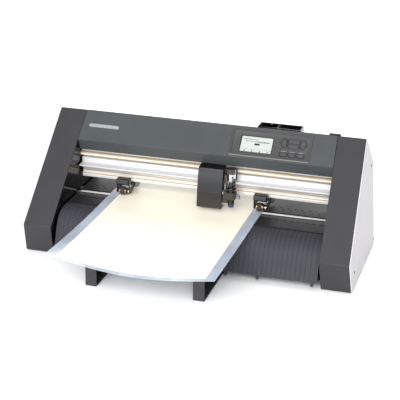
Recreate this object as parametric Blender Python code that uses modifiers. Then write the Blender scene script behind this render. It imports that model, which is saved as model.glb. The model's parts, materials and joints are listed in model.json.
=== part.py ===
"""Desktop vinyl cutter, 20-inch class, as separate parts.

Lengths are in millimetres and turn into metres in the helpers.
X runs along the machine, from left to right. Y runs from the operator to the back, and is
measured from the lower front edge of the end covers. Z is the height above the table.
Everything hangs on one empty, which moves the machine so that the middle of its outline
on the table is the origin.
"""
import math

import bmesh
import bpy
from mathutils import Matrix, Vector

MM = 0.001
GAP = 0.3                      # room between pieces that touch

# ---------------------------------------------------------------- driving dimensions
WIDTH = 851.0                  # over both side panels, at the table
COVER_WIDTH = 77.0             # one end cover, at the table
HEIGHT = 323.4                 # ridge
DEPTH = 324.0                  # end cover at the table
RIDGE_Y = 216.9
OUTER_LEAN = 18.5 / HEIGHT     # side panels lean inwards
INNER_LEAN = 15.0 / HEIGHT     # the walls of the working bay lean inwards too
WALL = 3.0                     # moulded covers
SKIN = 2.4                     # side panels and inner walls
SHEET_METAL = 2.5              # platen pieces
KNEE = (-22.9, 81.7)
BACK_TOP = (309.0, 236.0)
CREASE_Y = 155.0
BEAM_LIP = (172.0, 228.5)
PLATEN_Z = 113.0
PLATEN_FRONT_Y = 84.0
NIP_Y = 172.0                  # grit roller and pinch wheels
GRIT_R = 8.0
ROLLER_Z = PLATEN_Z - GRIT_R + GAP
RAIL_Y = 181.0
SHEET_LEFT, SHEET_RIGHT = -254.0, 157.0
SHEET_FRONT, SHEET_BACK = -275.0, 318.0
MARGIN = 25.0                  # clear border of the carrier sheet
CARRIER_THICK = 0.6
VINYL_THICK = 0.4
TOOL_X, TOOL_Y = 82.0, 140.0
BELT_Y, BELT_Z = 193.9, 213.0
PULLEY_R = 10.0
PULLEY_X = 373.0
PINCH_X = (-216.0, 153.0)
PORTS_X, PORTS_Z = (356.0, 396.0), (30.0, 102.0)
ARM_PIVOT = (212.0, 136.0)
SLOPE = math.atan2(HEIGHT - KNEE[1], RIDGE_Y - KNEE[0])

HALF = WIDTH / 2
BAY_HALF = HALF - COVER_WIDTH
FOOT = 2.0                     # rubber strips under the end covers
PROFILE = [(0.0, FOOT + GAP), KNEE, (RIDGE_Y, HEIGHT), BACK_TOP, (DEPTH, FOOT + GAP)]
CENTRE_Y = (SHEET_FRONT + DEPTH) / 2


# ---------------------------------------------------------------- scene and helpers
for old in list(bpy.data.objects):
    bpy.data.objects.remove(old, do_unlink=True)

parts = bpy.data.collections.new("vinyl_cutter")
cutters = bpy.data.collections.new("cutters")
bpy.context.scene.collection.children.link(parts)
bpy.context.scene.collection.children.link(cutters)

datum = bpy.data.objects.new("datum", None)
datum.location = (0.0, -CENTRE_Y * MM, 0.0)
parts.objects.link(datum)


def slope_height(y):
    """Height of the sloped front face above the table at depth y."""
    return HEIGHT + (y - RIDGE_Y) * math.tan(SLOPE)


def bay_x(z):
    """Half width of the working bay at height z, with its gap to the walls."""
    return BAY_HALF - INNER_LEAN * z - SKIN - GAP


def finish(obj, colour, roughness, metallic=0.0):
    """Give the part its own plain material and hang it on the datum."""
    mat = bpy.data.materials.new(obj.name + "_finish")
    mat.use_nodes = True
    shader = mat.node_tree.nodes["Principled BSDF"]
    shader.inputs["Base Color"].default_value = (*colour, 1.0)
    shader.inputs["Roughness"].default_value = roughness
    shader.inputs["Metallic"].default_value = metallic
    obj.data.materials.clear()
    obj.data.materials.append(mat)
    if obj.parent is None:
        obj.parent = datum
    return obj


def mesh_object(name, bm, where=None):
    """Turn a bmesh in millimetres into an object in metres."""
    bmesh.ops.scale(bm, vec=(MM, MM, MM), verts=bm.verts)
    mesh = bpy.data.meshes.new(name)
    bm.to_mesh(mesh)
    bm.free()
    obj = bpy.data.objects.new(name, mesh)
    (where or parts).objects.link(obj)
    return obj


def box(name, x, y, z, bevel=0.0, where=None):
    """A block between two limits along each axis."""
    bm = bmesh.new()
    bmesh.ops.create_cube(bm, size=1.0)
    bmesh.ops.scale(bm, vec=(x[1] - x[0], y[1] - y[0], z[1] - z[0]), verts=bm.verts)
    centre = (sum(x) / 2, sum(y) / 2, sum(z) / 2)
    bmesh.ops.translate(bm, vec=centre, verts=bm.verts)
    if bevel:
        bmesh.ops.bevel(bm, geom=list(bm.edges), offset=bevel, segments=1, affect="EDGES")
    return mesh_object(name, bm, where)


def prism(name, outline, x, where=None, turn=None):
    """A flat outline in (y, z), given a thickness along X; turn replaces that placing."""
    curve = bpy.data.curves.new(name, "CURVE")
    curve.dimensions = "2D"
    curve.fill_mode = "BOTH"
    curve.extrude = (x[1] - x[0]) / 2 * MM
    spline = curve.splines.new("POLY")
    spline.points.add(len(outline) - 1)
    for point, (a, b) in zip(spline.points, outline):
        point.co = (a * MM, b * MM, 0.0, 1.0)
    spline.use_cyclic_u = True
    blank = bpy.data.objects.new(name + "_outline", curve)
    parts.objects.link(blank)
    graph = bpy.context.evaluated_depsgraph_get()
    mesh = bpy.data.meshes.new_from_object(blank.evaluated_get(graph))
    bpy.data.objects.remove(blank, do_unlink=True)
    bpy.data.curves.remove(curve)
    bm = bmesh.new()
    bm.from_mesh(mesh)
    bmesh.ops.remove_doubles(bm, verts=bm.verts, dist=0.00001)
    if turn is None:
        axes = Matrix(((0, 0, 1), (1, 0, 0), (0, 1, 0))).to_4x4()
        turn = Matrix.Translation((sum(x) / 2 * MM, 0, 0)) @ axes
    bmesh.ops.transform(bm, matrix=turn, verts=bm.verts)
    bmesh.ops.recalc_face_normals(bm, faces=bm.faces)
    bm.to_mesh(mesh)
    bm.free()
    mesh.name = name
    mesh.materials.clear()
    obj = bpy.data.objects.new(name, mesh)
    (where or parts).objects.link(obj)
    return obj


def upright(name, outline, z, where=None):
    """A flat outline in (x, y), given a thickness along Z."""
    lift = Matrix.Translation((0, 0, sum(z) / 2 * MM))
    return prism(name, outline, z, where, lift)


def lean(obj, inner, outer):
    """Tilt the two ends of a prism along X: each end moves in by its lean times the height."""
    xs = [v.co.x for v in obj.data.vertices]
    middle = (min(xs) + max(xs)) / 2
    side = 1.0 if middle > 0 else -1.0
    for v in obj.data.vertices:
        rate = outer if (v.co.x - middle) * side > 0 else inner
        v.co.x -= side * rate * v.co.z
    return obj


def turned(name, profile, axis, centre, steps=16, where=None):
    """A round piece from (along, radius) points, turned about an axis through centre."""
    bm = bmesh.new()
    ring = [bm.verts.new((radius, 0.0, along)) for along, radius in profile]
    for a, b in zip(ring, ring[1:]):
        bm.edges.new((a, b))
    obj = mesh_object(name, bm, where)
    screw = obj.modifiers.new("turn", "SCREW")
    screw.axis = "Z"
    screw.angle = math.tau
    screw.steps = steps
    screw.render_steps = steps
    screw.use_merge_vertices = True
    screw.merge_threshold = 0.00001
    graph = bpy.context.evaluated_depsgraph_get()
    solid = bpy.data.meshes.new_from_object(obj.evaluated_get(graph))
    obj.modifiers.clear()
    bm = bmesh.new()
    bm.from_mesh(solid)
    bmesh.ops.remove_doubles(bm, verts=bm.verts, dist=0.000005)
    facing = {"X": Matrix.Rotation(math.pi / 2, 4, "Y"), "Y": Matrix.Rotation(-math.pi / 2, 4, "X"),
              "Z": Matrix.Identity(4)}[axis]
    bmesh.ops.transform(bm, matrix=facing, verts=bm.verts)
    bmesh.ops.recalc_face_normals(bm, faces=bm.faces)
    bm.to_mesh(obj.data)
    bm.free()
    bpy.data.meshes.remove(solid)
    obj.data.transform(Matrix.Translation(Vector(centre) * MM))
    obj.data.shade_smooth()
    obj.data.set_sharp_from_angle(angle=math.radians(35))
    return obj


def rod(name, axis, centre, radius, length, steps=16, where=None):
    """A plain cylinder, centred on centre."""
    h = length / 2
    return turned(name, [(h, 0.0), (h, radius), (-h, radius), (-h, 0.0)], axis, centre, steps, where)


def bake(obj, other, operation):
    """Apply one Boolean and drop the other piece."""
    mod = obj.modifiers.new(operation.lower(), "BOOLEAN")
    mod.operation = operation
    mod.object = other
    mod.solver = "EXACT"
    graph = bpy.context.evaluated_depsgraph_get()
    mesh = bpy.data.meshes.new_from_object(obj.evaluated_get(graph))
    obj.modifiers.clear()
    obj.data = mesh
    bpy.data.objects.remove(other, do_unlink=True)
    return obj


def cut(obj, cutter):
    """Take the cutter's shape out of the part."""
    for home in list(cutter.users_collection):
        home.objects.unlink(cutter)
    cutters.objects.link(cutter)
    cutter.hide_render = True
    cutter.display_type = "WIRE"
    return bake(obj, cutter, "DIFFERENCE")


def join(obj, *others):
    """Union of solids that cross each other."""
    for other in others:
        bake(obj, other, "UNION")
    return obj


def pivot(obj, point):
    """Put the object's origin on its joint."""
    point = Vector(point) * MM
    obj.data.transform(Matrix.Translation(-point))
    obj.location = point
    return obj


def offset(points, distance):
    """The same open line, moved to its left by distance, with mitred corners."""
    out = []
    for i, p in enumerate(points):
        before = Vector(points[max(i - 1, 0)])
        after = Vector(points[min(i + 1, len(points) - 1)])
        here = Vector(p)
        a = (here - before) if i > 0 else (after - here)
        b = (after - here) if i < len(points) - 1 else (here - before)
        a.normalize()
        b.normalize()
        na = Vector((-a.y, a.x))
        nb = Vector((-b.y, b.x))
        mitre = (na + nb).normalized()
        out.append(tuple(here + mitre * (distance / max(mitre.dot(na), 0.3))))
    return out


def strip(points, thickness):
    """A bent sheet: an open line given a thickness, as a closed outline."""
    return points + offset(points, thickness)[::-1]


def inset(outline, distance):
    """A closed convex outline, clockwise in (y, z), made smaller all round."""
    count = len(outline)
    out = []
    for i in range(count):
        here = Vector(outline[i])
        a = (here - Vector(outline[i - 1])).normalized()
        b = (Vector(outline[(i + 1) % count]) - here).normalized()
        na = Vector((a.y, -a.x))
        nb = Vector((b.y, -b.x))
        mitre = (na + nb).normalized()
        out.append(tuple(here + mitre * (distance / mitre.dot(na))))
    return out


def on_slope(obj):
    """Move a piece from panel coordinates onto the sloped face.

    In panel coordinates x runs along the machine, y runs up the slope and is zero at the
    ridge, and z stands out of the face.
    """
    place = Matrix.Translation((0, RIDGE_Y * MM, HEIGHT * MM)) @ Matrix.Rotation(SLOPE, 4, "X")
    obj.data.transform(place)
    return obj


def slope_point(x, up, out=0.0):
    """A point in panel coordinates, given in machine coordinates."""
    c, s = math.cos(SLOPE), math.sin(SLOPE)
    return (x, RIDGE_Y + up * c - out * s, HEIGHT + up * s + out * c)


DARK = (0.085, 0.083, 0.088)
BLACK = (0.012, 0.012, 0.014)
STEEL = (0.62, 0.63, 0.65)
WHITE = (0.75, 0.74, 0.77)


# ---------------------------------------------------------------- end housings
def end_housing(side, word):
    """Cover, white side panel and inner wall of one end."""
    x = sorted((side * BAY_HALF, side * (HALF - SKIN - GAP)))
    cover = prism(word + "_end_cover", PROFILE, x)
    through = sorted((side * (BAY_HALF - COVER_WIDTH), side * (HALF + COVER_WIDTH)))
    cut(cover, prism("hollow", inset(PROFILE, WALL), through, cutters))
    lean(cover, INNER_LEAN, OUTER_LEAN)
    if word == "right":
        window = box("port_window", (PORTS_X[0] - 0.4, PORTS_X[1] + 0.4), (DEPTH - 20, DEPTH + 9),
                     (PORTS_Z[0] - 0.4, PORTS_Z[1] + 0.4), where=cutters)
        cut(cover, window)
    finish(cover, DARK, 0.55)

    panel_x = sorted((side * (HALF - SKIN), side * HALF))
    panel = lean(prism(word + "_side_panel", inset(PROFILE, 0.6), panel_x), OUTER_LEAN, OUTER_LEAN)
    finish(panel, WHITE, 0.5)

    frame_x = sorted((side * BAY_HALF, side * (BAY_HALF + SKIN)))
    frame = prism(word + "_side_frame", inset(PROFILE, WALL + GAP), frame_x)
    slot = box("belt_slot", sorted((side * (BAY_HALF - 9), side * (BAY_HALF + 9))), (178, 209),
               (204, 222), where=cutters)
    cut(frame, slot)
    hole = rod("roller_hole", "X", (side * BAY_HALF, NIP_Y, ROLLER_Z), 6.6, 30, 16, cutters)
    cut(frame, hole)
    lean(frame, INNER_LEAN, INNER_LEAN)
    finish(frame, BLACK, 0.12)


end_housing(-1, "left")
end_housing(1, "right")


# ---------------------------------------------------------------- beam covers
COVER_SKIN = 2.6
LEVER = (311.0, 294.0, 268.0)      # pivot of the media lever
BACK_RISE = (BACK_TOP[1] - HEIGHT) / (BACK_TOP[0] - RIDGE_Y)


def back_height(y):
    """Height of the back slope of the rear cover at depth y."""
    return HEIGHT + (y - RIDGE_Y) * BACK_RISE


def lugs(cover):
    """Two moulded lugs with a pin between them, which carry the media lever."""
    sunk = 1.0
    side = [(278.0, back_height(278.0) - sunk), (284.0, 274.0), (302.0, 276.0),
            (302.0, back_height(302.0) - sunk)]
    join(cover, prism("near_lug", side, (299.0, 304.4)), prism("far_lug", side, (317.6, 323.0)),
         rod("lug_pin", "X", LEVER, 2.6, 20.0, 12))


def beam_covers():
    """Front half of the top cover with its control panel opening, and the back half."""
    crease = (CREASE_Y, slope_height(CREASE_Y))
    inner_lip = (BEAM_LIP[0] + 5.0, BEAM_LIP[1])
    front = [inner_lip, BEAM_LIP, crease, (RIDGE_Y, HEIGHT)]
    top = prism("top_cover", strip(front, -COVER_SKIN), (-1, 1))
    width = BAY_HALF - 0.5
    for v in top.data.vertices:
        v.co.x = math.copysign((width - INNER_LEAN * v.co.z / MM) * MM, v.co.x)
    opening = box("panel_opening", (66, 274), (-84.7, -7.1), (-9, 9), where=cutters)
    cut(top, on_slope(opening))
    cut(top, box("ridge_trim", (-400, 400), (RIDGE_Y, 260), (300, 340), where=cutters))
    finish(top, (0.125, 0.135, 0.142), 0.5)

    lip_back = (316.5, 176.0)
    back = [(RIDGE_Y + 0.5, HEIGHT - 0.6), BACK_TOP, lip_back, (306.0, 172.0)]
    rear = prism("rear_cover", strip(back, -COVER_SKIN), (-1, 1))
    for v in rear.data.vertices:
        v.co.x = math.copysign((width - INNER_LEAN * v.co.z / MM) * MM, v.co.x)
    cut(rear, box("ridge_trim", (-400, 400), (180, RIDGE_Y + 0.5), (300, 340), where=cutters))
    lugs(rear)
    finish(rear, (0.10, 0.105, 0.11), 0.55)


beam_covers()

# ---------------------------------------------------------------- control panel
LCD_X, LCD_UP = (92.3, 172.6), (-68.5, -25.4)
ARROWS = {
    "key_left": [(193.5, -34.8), (199.5, -22.5), (208.5, -25.5), (208.5, -44.5), (200.5, -46.5)],
    "key_up": [(211.0, -31.0), (215.5, -23.0), (238.0, -23.0), (242.0, -31.0), (238.0, -33.6),
               (215.0, -33.6)],
    "key_down": [(211.0, -39.5), (215.0, -37.0), (238.0, -37.0), (242.0, -39.5), (237.5, -47.6),
                 (215.5, -47.6)],
    "key_right": [(244.5, -25.5), (253.0, -22.5), (259.5, -34.8), (252.5, -46.5), (244.5, -44.5)],
}
SMALL_KEYS = {"key_enter": 204.5, "key_origin": 226.3, "key_pause": 248.8}
KEY_DEEP, KEY_HIGH = -8.0, -1.8


def key_outline(centre, width=17.6, height=10.4, chamfer=3.0):
    """Oblong with cut corners, counter-clockwise."""
    x0, x1 = centre - width / 2, centre + width / 2
    y0, y1 = -65.8 - height / 2, -65.8 + height / 2
    c = chamfer
    return [(x0 + c, y0), (x1 - c, y0), (x1, y0 + c), (x1, y1 - c), (x1 - c, y1), (x0 + c, y1),
            (x0, y1 - c), (x0, y0 + c)]


def grown(outline, distance):
    """A convex outline made larger from its middle."""
    cx = sum(p[0] for p in outline) / len(outline)
    cy = sum(p[1] for p in outline) / len(outline)
    wide = max(abs(p[0] - cx) for p in outline)
    high = max(abs(p[1] - cy) for p in outline)
    return [(cx + (x - cx) * (1 + distance / wide), cy + (y - cy) * (1 + distance / high))
            for x, y in outline]


def control_panel():
    """Sunk panel with windows for the display and the seven keys."""
    panel = box("control_panel", (66.4, 273.6), (-84.3, -7.5), (-9.0, -0.2))
    sink = box("sink", (71.0, 269.0), (-77.0, -11.5), (-3.4, 5.0), where=cutters)
    cut(panel, sink)
    window = box("window", (LCD_X[0] - 0.3, LCD_X[1] + 0.3), (LCD_UP[0] - 0.3, LCD_UP[1] + 0.3),
                 (-20, 20), where=cutters)
    cut(panel, window)
    outlines = dict(ARROWS)
    outlines.update({name: key_outline(x) for name, x in SMALL_KEYS.items()})
    for name, outline in outlines.items():
        cut(panel, upright("key_hole", grown(outline, 0.5), (-20, 20), cutters))
    finish(on_slope(panel), (0.105, 0.102, 0.105), 0.5)
    for name, outline in outlines.items():
        key = on_slope(upright(name, outline, (KEY_DEEP, KEY_HIGH)))
        cx = sum(p[0] for p in outline) / len(outline)
        cy = sum(p[1] for p in outline) / len(outline)
        pivot(key, slope_point(cx, cy, KEY_DEEP))
        finish(key, (0.075, 0.073, 0.076), 0.45)
    lcd = box("lcd_display", LCD_X, LCD_UP, (-8.6, -4.4))
    finish(on_slope(lcd), (0.75, 0.8, 0.85), 0.15)


control_panel()


# ---------------------------------------------------------------- base and platen
def platen():
    """Ribbed front cover, flat deck, cutting strip and rear platen."""
    half = BAY_HALF - INNER_LEAN * PLATEN_Z - 3.0
    bend = [(PLATEN_FRONT_Y - 0.6, PLATEN_Z)]
    centre, radius = (60.0, 57.0), 55.0
    for step in range(7):
        a = math.radians(90 + step * 11)
        bend.append((centre[0] + radius * math.cos(a), centre[1] + radius * math.sin(a) - 2.0))
    bend += [(-7.0, 37.0), (-15.0, 20.5), (-3.0, 20.5)]
    front = prism("platen_front", strip(bend, SHEET_METAL), (-half, half))
    finish(front, (0.05, 0.05, 0.055), 0.6)

    edge = NIP_Y - GRIT_R - 1.0
    deck_line = [(PLATEN_FRONT_Y + 1.0, PLATEN_Z - 14), (PLATEN_FRONT_Y + 1.0, PLATEN_Z),
                 (edge, PLATEN_Z), (edge, PLATEN_Z - 14)]
    deck = prism("platen_deck", strip(deck_line, -SHEET_METAL), (-half, half))
    groove = box("mat_groove", (-half + 6, half - 6), (144.5, 157.5), (PLATEN_Z - 1.2, PLATEN_Z + 5),
                 where=cutters)
    cut(deck, groove)
    finish(deck, (0.055, 0.055, 0.06), 0.6)
    mat = box("cutting_mat", (-half + 6.4, half - 6.4), (144.8, 157.2),
              (PLATEN_Z - 0.9, PLATEN_Z - 0.1))
    finish(mat, (0.09, 0.09, 0.095), 0.75)

    edge = NIP_Y + GRIT_R + 1.0
    rear_line = [(edge, PLATEN_Z - 14), (edge, PLATEN_Z), (288.0, PLATEN_Z), (306.0, 106.0),
                 (315.0, 92.0), (318.0, 60.0)]
    rear = prism("platen_rear", strip(rear_line, -SHEET_METAL), (-half, half))
    finish(rear, (0.05, 0.05, 0.055), 0.6)

    pan_line = [(2.0, 32.0), (2.0, 19.5), (312.0, 19.5), (312.0, 56.0)]
    pan = prism("base_pan", strip(pan_line, 2.0), (-half, half))
    finish(pan, (0.10, 0.10, 0.105), 0.5, 0.4)


platen()


def front_leg(name, x0):
    """Folded steel foot that reaches out in front: open on its right side."""
    x1 = x0 + 28.4
    outline = [(-150.9, 0.0), (-150.9, 60.0), (-138.0, 60.0), (-30.0, 18.5), (296.0, 18.5), (296.0, 0.0)]
    leg = prism(name, outline, (x0, x1))
    hollow = prism("hollow", inset(outline, 2.2), (x0 + 2.2, x1 + 10), cutters)
    cut(leg, hollow)
    finish(leg, (0.10, 0.10, 0.105), 0.45)


front_leg("left_front_leg", -202.5)
front_leg("right_front_leg", 70.0)


# ---------------------------------------------------------------- guide rail
def guide_rail():
    """Aluminium extrusion that the carriage runs on, hollow from end to end."""
    y = RAIL_Y
    outline = [(216, 150), (216, 230), (y - 2, 230), (y - 2, 225), (y, 222), (y + 9, 221), (y + 9, 205),
               (y, 204), (y, 190), (y - 23, 190), (y - 23, 186), (y, 184), (y, 175), (y + 6, 173),
               (y + 6, 161), (y + 2, 158), (y + 2, 150)]
    half = bay_x(230.0)
    rail = prism("y_bar", outline, (-half, half))
    channel = prism("channel", [(196, 154), (212, 154), (212, 226), (196, 226)], (-half - 5, half + 5),
                    cutters)
    cut(rail, channel)
    finish(rail, (0.82, 0.82, 0.83), 0.25, 0.9)


guide_rail()


def support_bar():
    """Square bar behind the rail that the pinch assemblies slide on."""
    half = bay_x(170.0)
    finish(box("pinch_support_bar", (-half, half), (222, 234), (150, 162)), STEEL, 0.3, 1.0)


support_bar()


# ---------------------------------------------------------------- belt drive
def belt_drive():
    """Toothed belt, its two pulleys and the carriage motor."""
    inner, outer = PULLEY_R, PULLEY_R + 1.4

    def stadium(radius):
        points = []
        for side in (1, -1):
            for step in range(9):
                a = math.radians(-90 + step * 22.5)
                points.append((side * PULLEY_X + side * radius * math.cos(a),
                               BELT_Y + side * radius * math.sin(a)))
        return points

    belt = upright("drive_belt", stadium(outer), (BELT_Z - 4.5, BELT_Z + 4.5))
    cut(belt, upright("belt_gap", stadium(inner), (BELT_Z - 9, BELT_Z + 9), cutters))
    finish(belt, (0.60, 0.50, 0.38), 0.7)
    r = PULLEY_R - GAP
    for word, x in (("drive_pulley", PULLEY_X), ("idler_pulley", -PULLEY_X)):
        profile = [(8.0, 0.0), (8.0, r - 2.0), (6.6, r - 0.2), (5.2, r), (-5.2, r), (-6.6, r - 0.2),
                   (-8.0, r - 2.0), (-8.0, 0.0)]
        pulley = turned(word, profile, "Z", (x, BELT_Y, BELT_Z), 20)
        if word == "drive_pulley":
            join(pulley, rod("shaft", "Z", (x, BELT_Y, BELT_Z - 14), 2.5, 20, 12))
        else:
            join(pulley, rod("shaft", "Z", (x, BELT_Y, BELT_Z), 2.5, 26, 12))
        pivot(pulley, (x, BELT_Y, BELT_Z))
        finish(pulley, STEEL, 0.3, 1.0)
    motor = box("carriage_motor", (PULLEY_X - 21, PULLEY_X + 21), (BELT_Y - 21, BELT_Y + 21),
                (BELT_Z - 72, BELT_Z - 26), 3.0)
    cut(motor, rod("shaft_hole", "Z", (PULLEY_X, BELT_Y, BELT_Z - 24), 3.2, 12, 12, cutters))
    finish(motor, (0.03, 0.03, 0.03), 0.5, 0.5)


belt_drive()


# ---------------------------------------------------------------- media feed
GEAR_X = -(BAY_HALF + 22.0)
GEAR_R, PINION_R = 24.0, 8.0


def gear(name, radius, teeth, x, y, z, width, bore, phase):
    """Spur gear facing X, with tapered teeth; phase is the angle of one tooth's middle."""
    outline = []
    for tooth in range(teeth):
        for part, r in ((-0.3, radius - 1.6), (-0.18, radius + 1.0), (0.18, radius + 1.0),
                        (0.3, radius - 1.6)):
            a = phase + math.tau * (tooth + part) / teeth
            outline.append((y + r * math.cos(a), z + r * math.sin(a)))
    wheel = prism(name, outline, (x - width / 2, x + width / 2))
    if bore:
        cut(wheel, rod("bore", "X", (x, y, z), bore, width + 10, 16, cutters))
    return wheel


def media_feed():
    """Grit roller with its bushes, gear, pinion and motor."""
    end = BAY_HALF + 34.0
    half = BAY_HALF - INNER_LEAN * PLATEN_Z - 4.0
    profile = [(end - 14, 0.0), (end - 14, 5.0), (half + 0.5, 5.0), (half + 0.5, GRIT_R - 0.3),
               (half - 1, GRIT_R - 0.3), (-half + 1, GRIT_R - 0.3), (-half - 0.5, GRIT_R - 0.3),
               (-half - 0.5, 5.0), (-end, 5.0), (-end, 0.0)]
    roller = turned("grit_roller", profile, "X", (0, NIP_Y, ROLLER_Z), 20)
    pivot(roller, (0, NIP_Y, ROLLER_Z))
    finish(roller, STEEL, 0.35, 1.0)

    for side, word in ((-1, "left"), (1, "right")):
        x = side * (BAY_HALF - INNER_LEAN * ROLLER_Z + 1.2)
        bush = rod(word + "_roller_bush", "X", (x, NIP_Y, ROLLER_Z), 6.3, 6.8, 16)
        cut(bush, rod("bore", "X", (x, NIP_Y, ROLLER_Z), 5.3, 20.0, 16, cutters))
        finish(bush, (0.75, 0.55, 0.25), 0.35, 1.0)

    mesh_angle = math.radians(217.0)
    wheel = gear("roller_gear", GEAR_R, 36, GEAR_X, NIP_Y, ROLLER_Z, 8.0, 5.3, mesh_angle)
    pivot(wheel, (GEAR_X, NIP_Y, ROLLER_Z))
    finish(wheel, (0.75, 0.74, 0.70), 0.5)
    reach = GEAR_R + PINION_R + 1.0
    px = GEAR_X
    py = NIP_Y + reach * math.cos(mesh_angle)
    pz = ROLLER_Z + reach * math.sin(mesh_angle)
    half_tooth = math.pi / 12
    pinion = gear("motor_pinion", PINION_R, 12, px, py, pz, 9.0, 0.0,
                  mesh_angle - math.pi + half_tooth)
    join(pinion, rod("shaft", "X", (px, py, pz), 2.5, 26, 12))
    pivot(pinion, (px, py, pz))
    finish(pinion, (0.70, 0.52, 0.25), 0.35, 1.0)
    motor = box("feed_motor", (px - 43, px - 9), (py - 21, py + 21), (pz - 21, pz + 21), 3.0)
    cut(motor, rod("shaft_hole", "X", (px - 9, py, pz), 3.2, 16, 12, cutters))
    finish(motor, (0.03, 0.03, 0.03), 0.5, 0.5)


media_feed()


def sheet_height(x, y):
    """Underside of the carrier sheet: flat over the platen, curling and sagging in front."""
    reach = max(0.0, (PLATEN_FRONT_Y - y) / (PLATEN_FRONT_Y - SHEET_FRONT))
    across = (x - SHEET_LEFT) / (SHEET_RIGHT - SHEET_LEFT)
    corners = 14.0 * (1 - across) + 4.0 * across
    belly = math.sin(math.pi * across) * 23.0
    return PLATEN_Z + 0.6 + (corners - belly) * reach ** 2


def sheet_piece(name, xs, ys, lift, thick):
    """A thin sheet on the curved surface, with grid lines at xs and ys, and Solidify."""
    across, along = len(xs) - 1, len(ys) - 1
    bm = bmesh.new()
    bmesh.ops.create_grid(bm, x_segments=across, y_segments=along, size=0.5)
    for v in bm.verts:
        x = xs[round((v.co.x + 0.5) * across)]
        y = ys[round((v.co.y + 0.5) * along)]
        v.co = (x, y, sheet_height(x, y) + lift)
    sheet = mesh_object(name, bm)
    wall = sheet.modifiers.new("thickness", "SOLIDIFY")
    wall.thickness = thick * MM
    wall.offset = 1.0
    return sheet


def spread(start, end, steps):
    """Evenly spaced values, ends included."""
    return [start + (end - start) * step / steps for step in range(steps + 1)]


def media():
    """Clear carrier sheet with a sheet of vinyl on it, on the same grid lines."""
    xs = spread(SHEET_LEFT + MARGIN, SHEET_RIGHT - MARGIN, 8)
    ys = spread(SHEET_FRONT + MARGIN / 2, PLATEN_FRONT_Y, 9) + [SHEET_BACK - MARGIN / 2]
    carrier = sheet_piece("carrier_sheet", [SHEET_LEFT, *xs, SHEET_RIGHT],
                          [SHEET_FRONT, *ys, SHEET_BACK], 0.0, CARRIER_THICK)
    finish(carrier, (0.62, 0.68, 0.78), 0.2)
    vinyl = sheet_piece("vinyl_sheet", xs, ys, CARRIER_THICK + GAP, VINYL_THICK)
    finish(vinyl, (0.96, 0.94, 0.87), 0.45)


media()


# ---------------------------------------------------------------- pinch rollers
WHEEL_R = 11.0
WHEEL_Z = PLATEN_Z + 0.6 + CARRIER_THICK + GAP + VINYL_THICK + GAP + WHEEL_R


def pinch_unit(word, x):
    """Carrier on the support bar, swinging arm and a pair of wheels on one axle."""
    py, pz = ARM_PIVOT
    carrier = box(word + "_pinch_carrier", (x - 21, x + 21), (218, 240), (122, 170))
    cheeks = [(203, 127), (203, 145), (219, 145), (219, 127)]
    for cx in (x - 21, x + 18.2):
        join(carrier, prism("cheek", cheeks, (cx, cx + 2.8)))
    join(carrier, rod("pin", "X", (x, py, pz), 2.0, 38.0, 12))
    cut(carrier, box("bar_way", (x - 40, x + 40), (221.5, 234.5), (149.5, 162.5), where=cutters))
    finish(carrier, STEEL, 0.35, 0.9)

    arm = box(word + "_pinch_arm", (x - 17.5, x + 17.5), (157.5, 178), (148.5, 161.6), 1.0)
    plate = [(163, 152), (163, 124), (168, 121), (178, 121), (204, 128), (216, 128), (218, 133),
             (216, 142), (204, 144.5), (180, 144.5), (175, 152)]
    for px in (x - 17.5, x + 15.5):
        join(arm, prism("arm_plate", plate, (px, px + 2.0)))
    join(arm, box("arm_bridge", (x - 17, x + 17), (205, 217), (129, 142)))
    cut(arm, rod("pin_hole", "X", (x, py, pz), 2.4, 60, 12, cutters))
    cut(arm, rod("axle_hole", "X", (x, NIP_Y, WHEEL_Z), 2.4, 60, 12, cutters))
    pivot(arm, (x, py, pz))
    finish(arm, BLACK, 0.35)

    r = WHEEL_R
    wheel = [(18.3, 0.0), (18.3, 2.0), (15.0, 2.0), (15.0, 5.4), (11.0, 5.4), (11.0, 7.6), (6.8, 7.6),
             (6.8, 9.4), (3.6, 9.4), (3.6, r), (-8.2, r), (-8.2, 9.4), (-11.2, 9.4), (-11.2, 2.0),
             (-18.3, 2.0), (-18.3, 0.0)]
    wheels = turned(word + "_pinch_wheels", wheel, "X", (x, NIP_Y, WHEEL_Z), 18)
    pivot(wheels, (x, NIP_Y, WHEEL_Z))
    finish(wheels, (0.06, 0.06, 0.065), 0.7)


pinch_unit("left", PINCH_X[0])
pinch_unit("right", PINCH_X[1])


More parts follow.
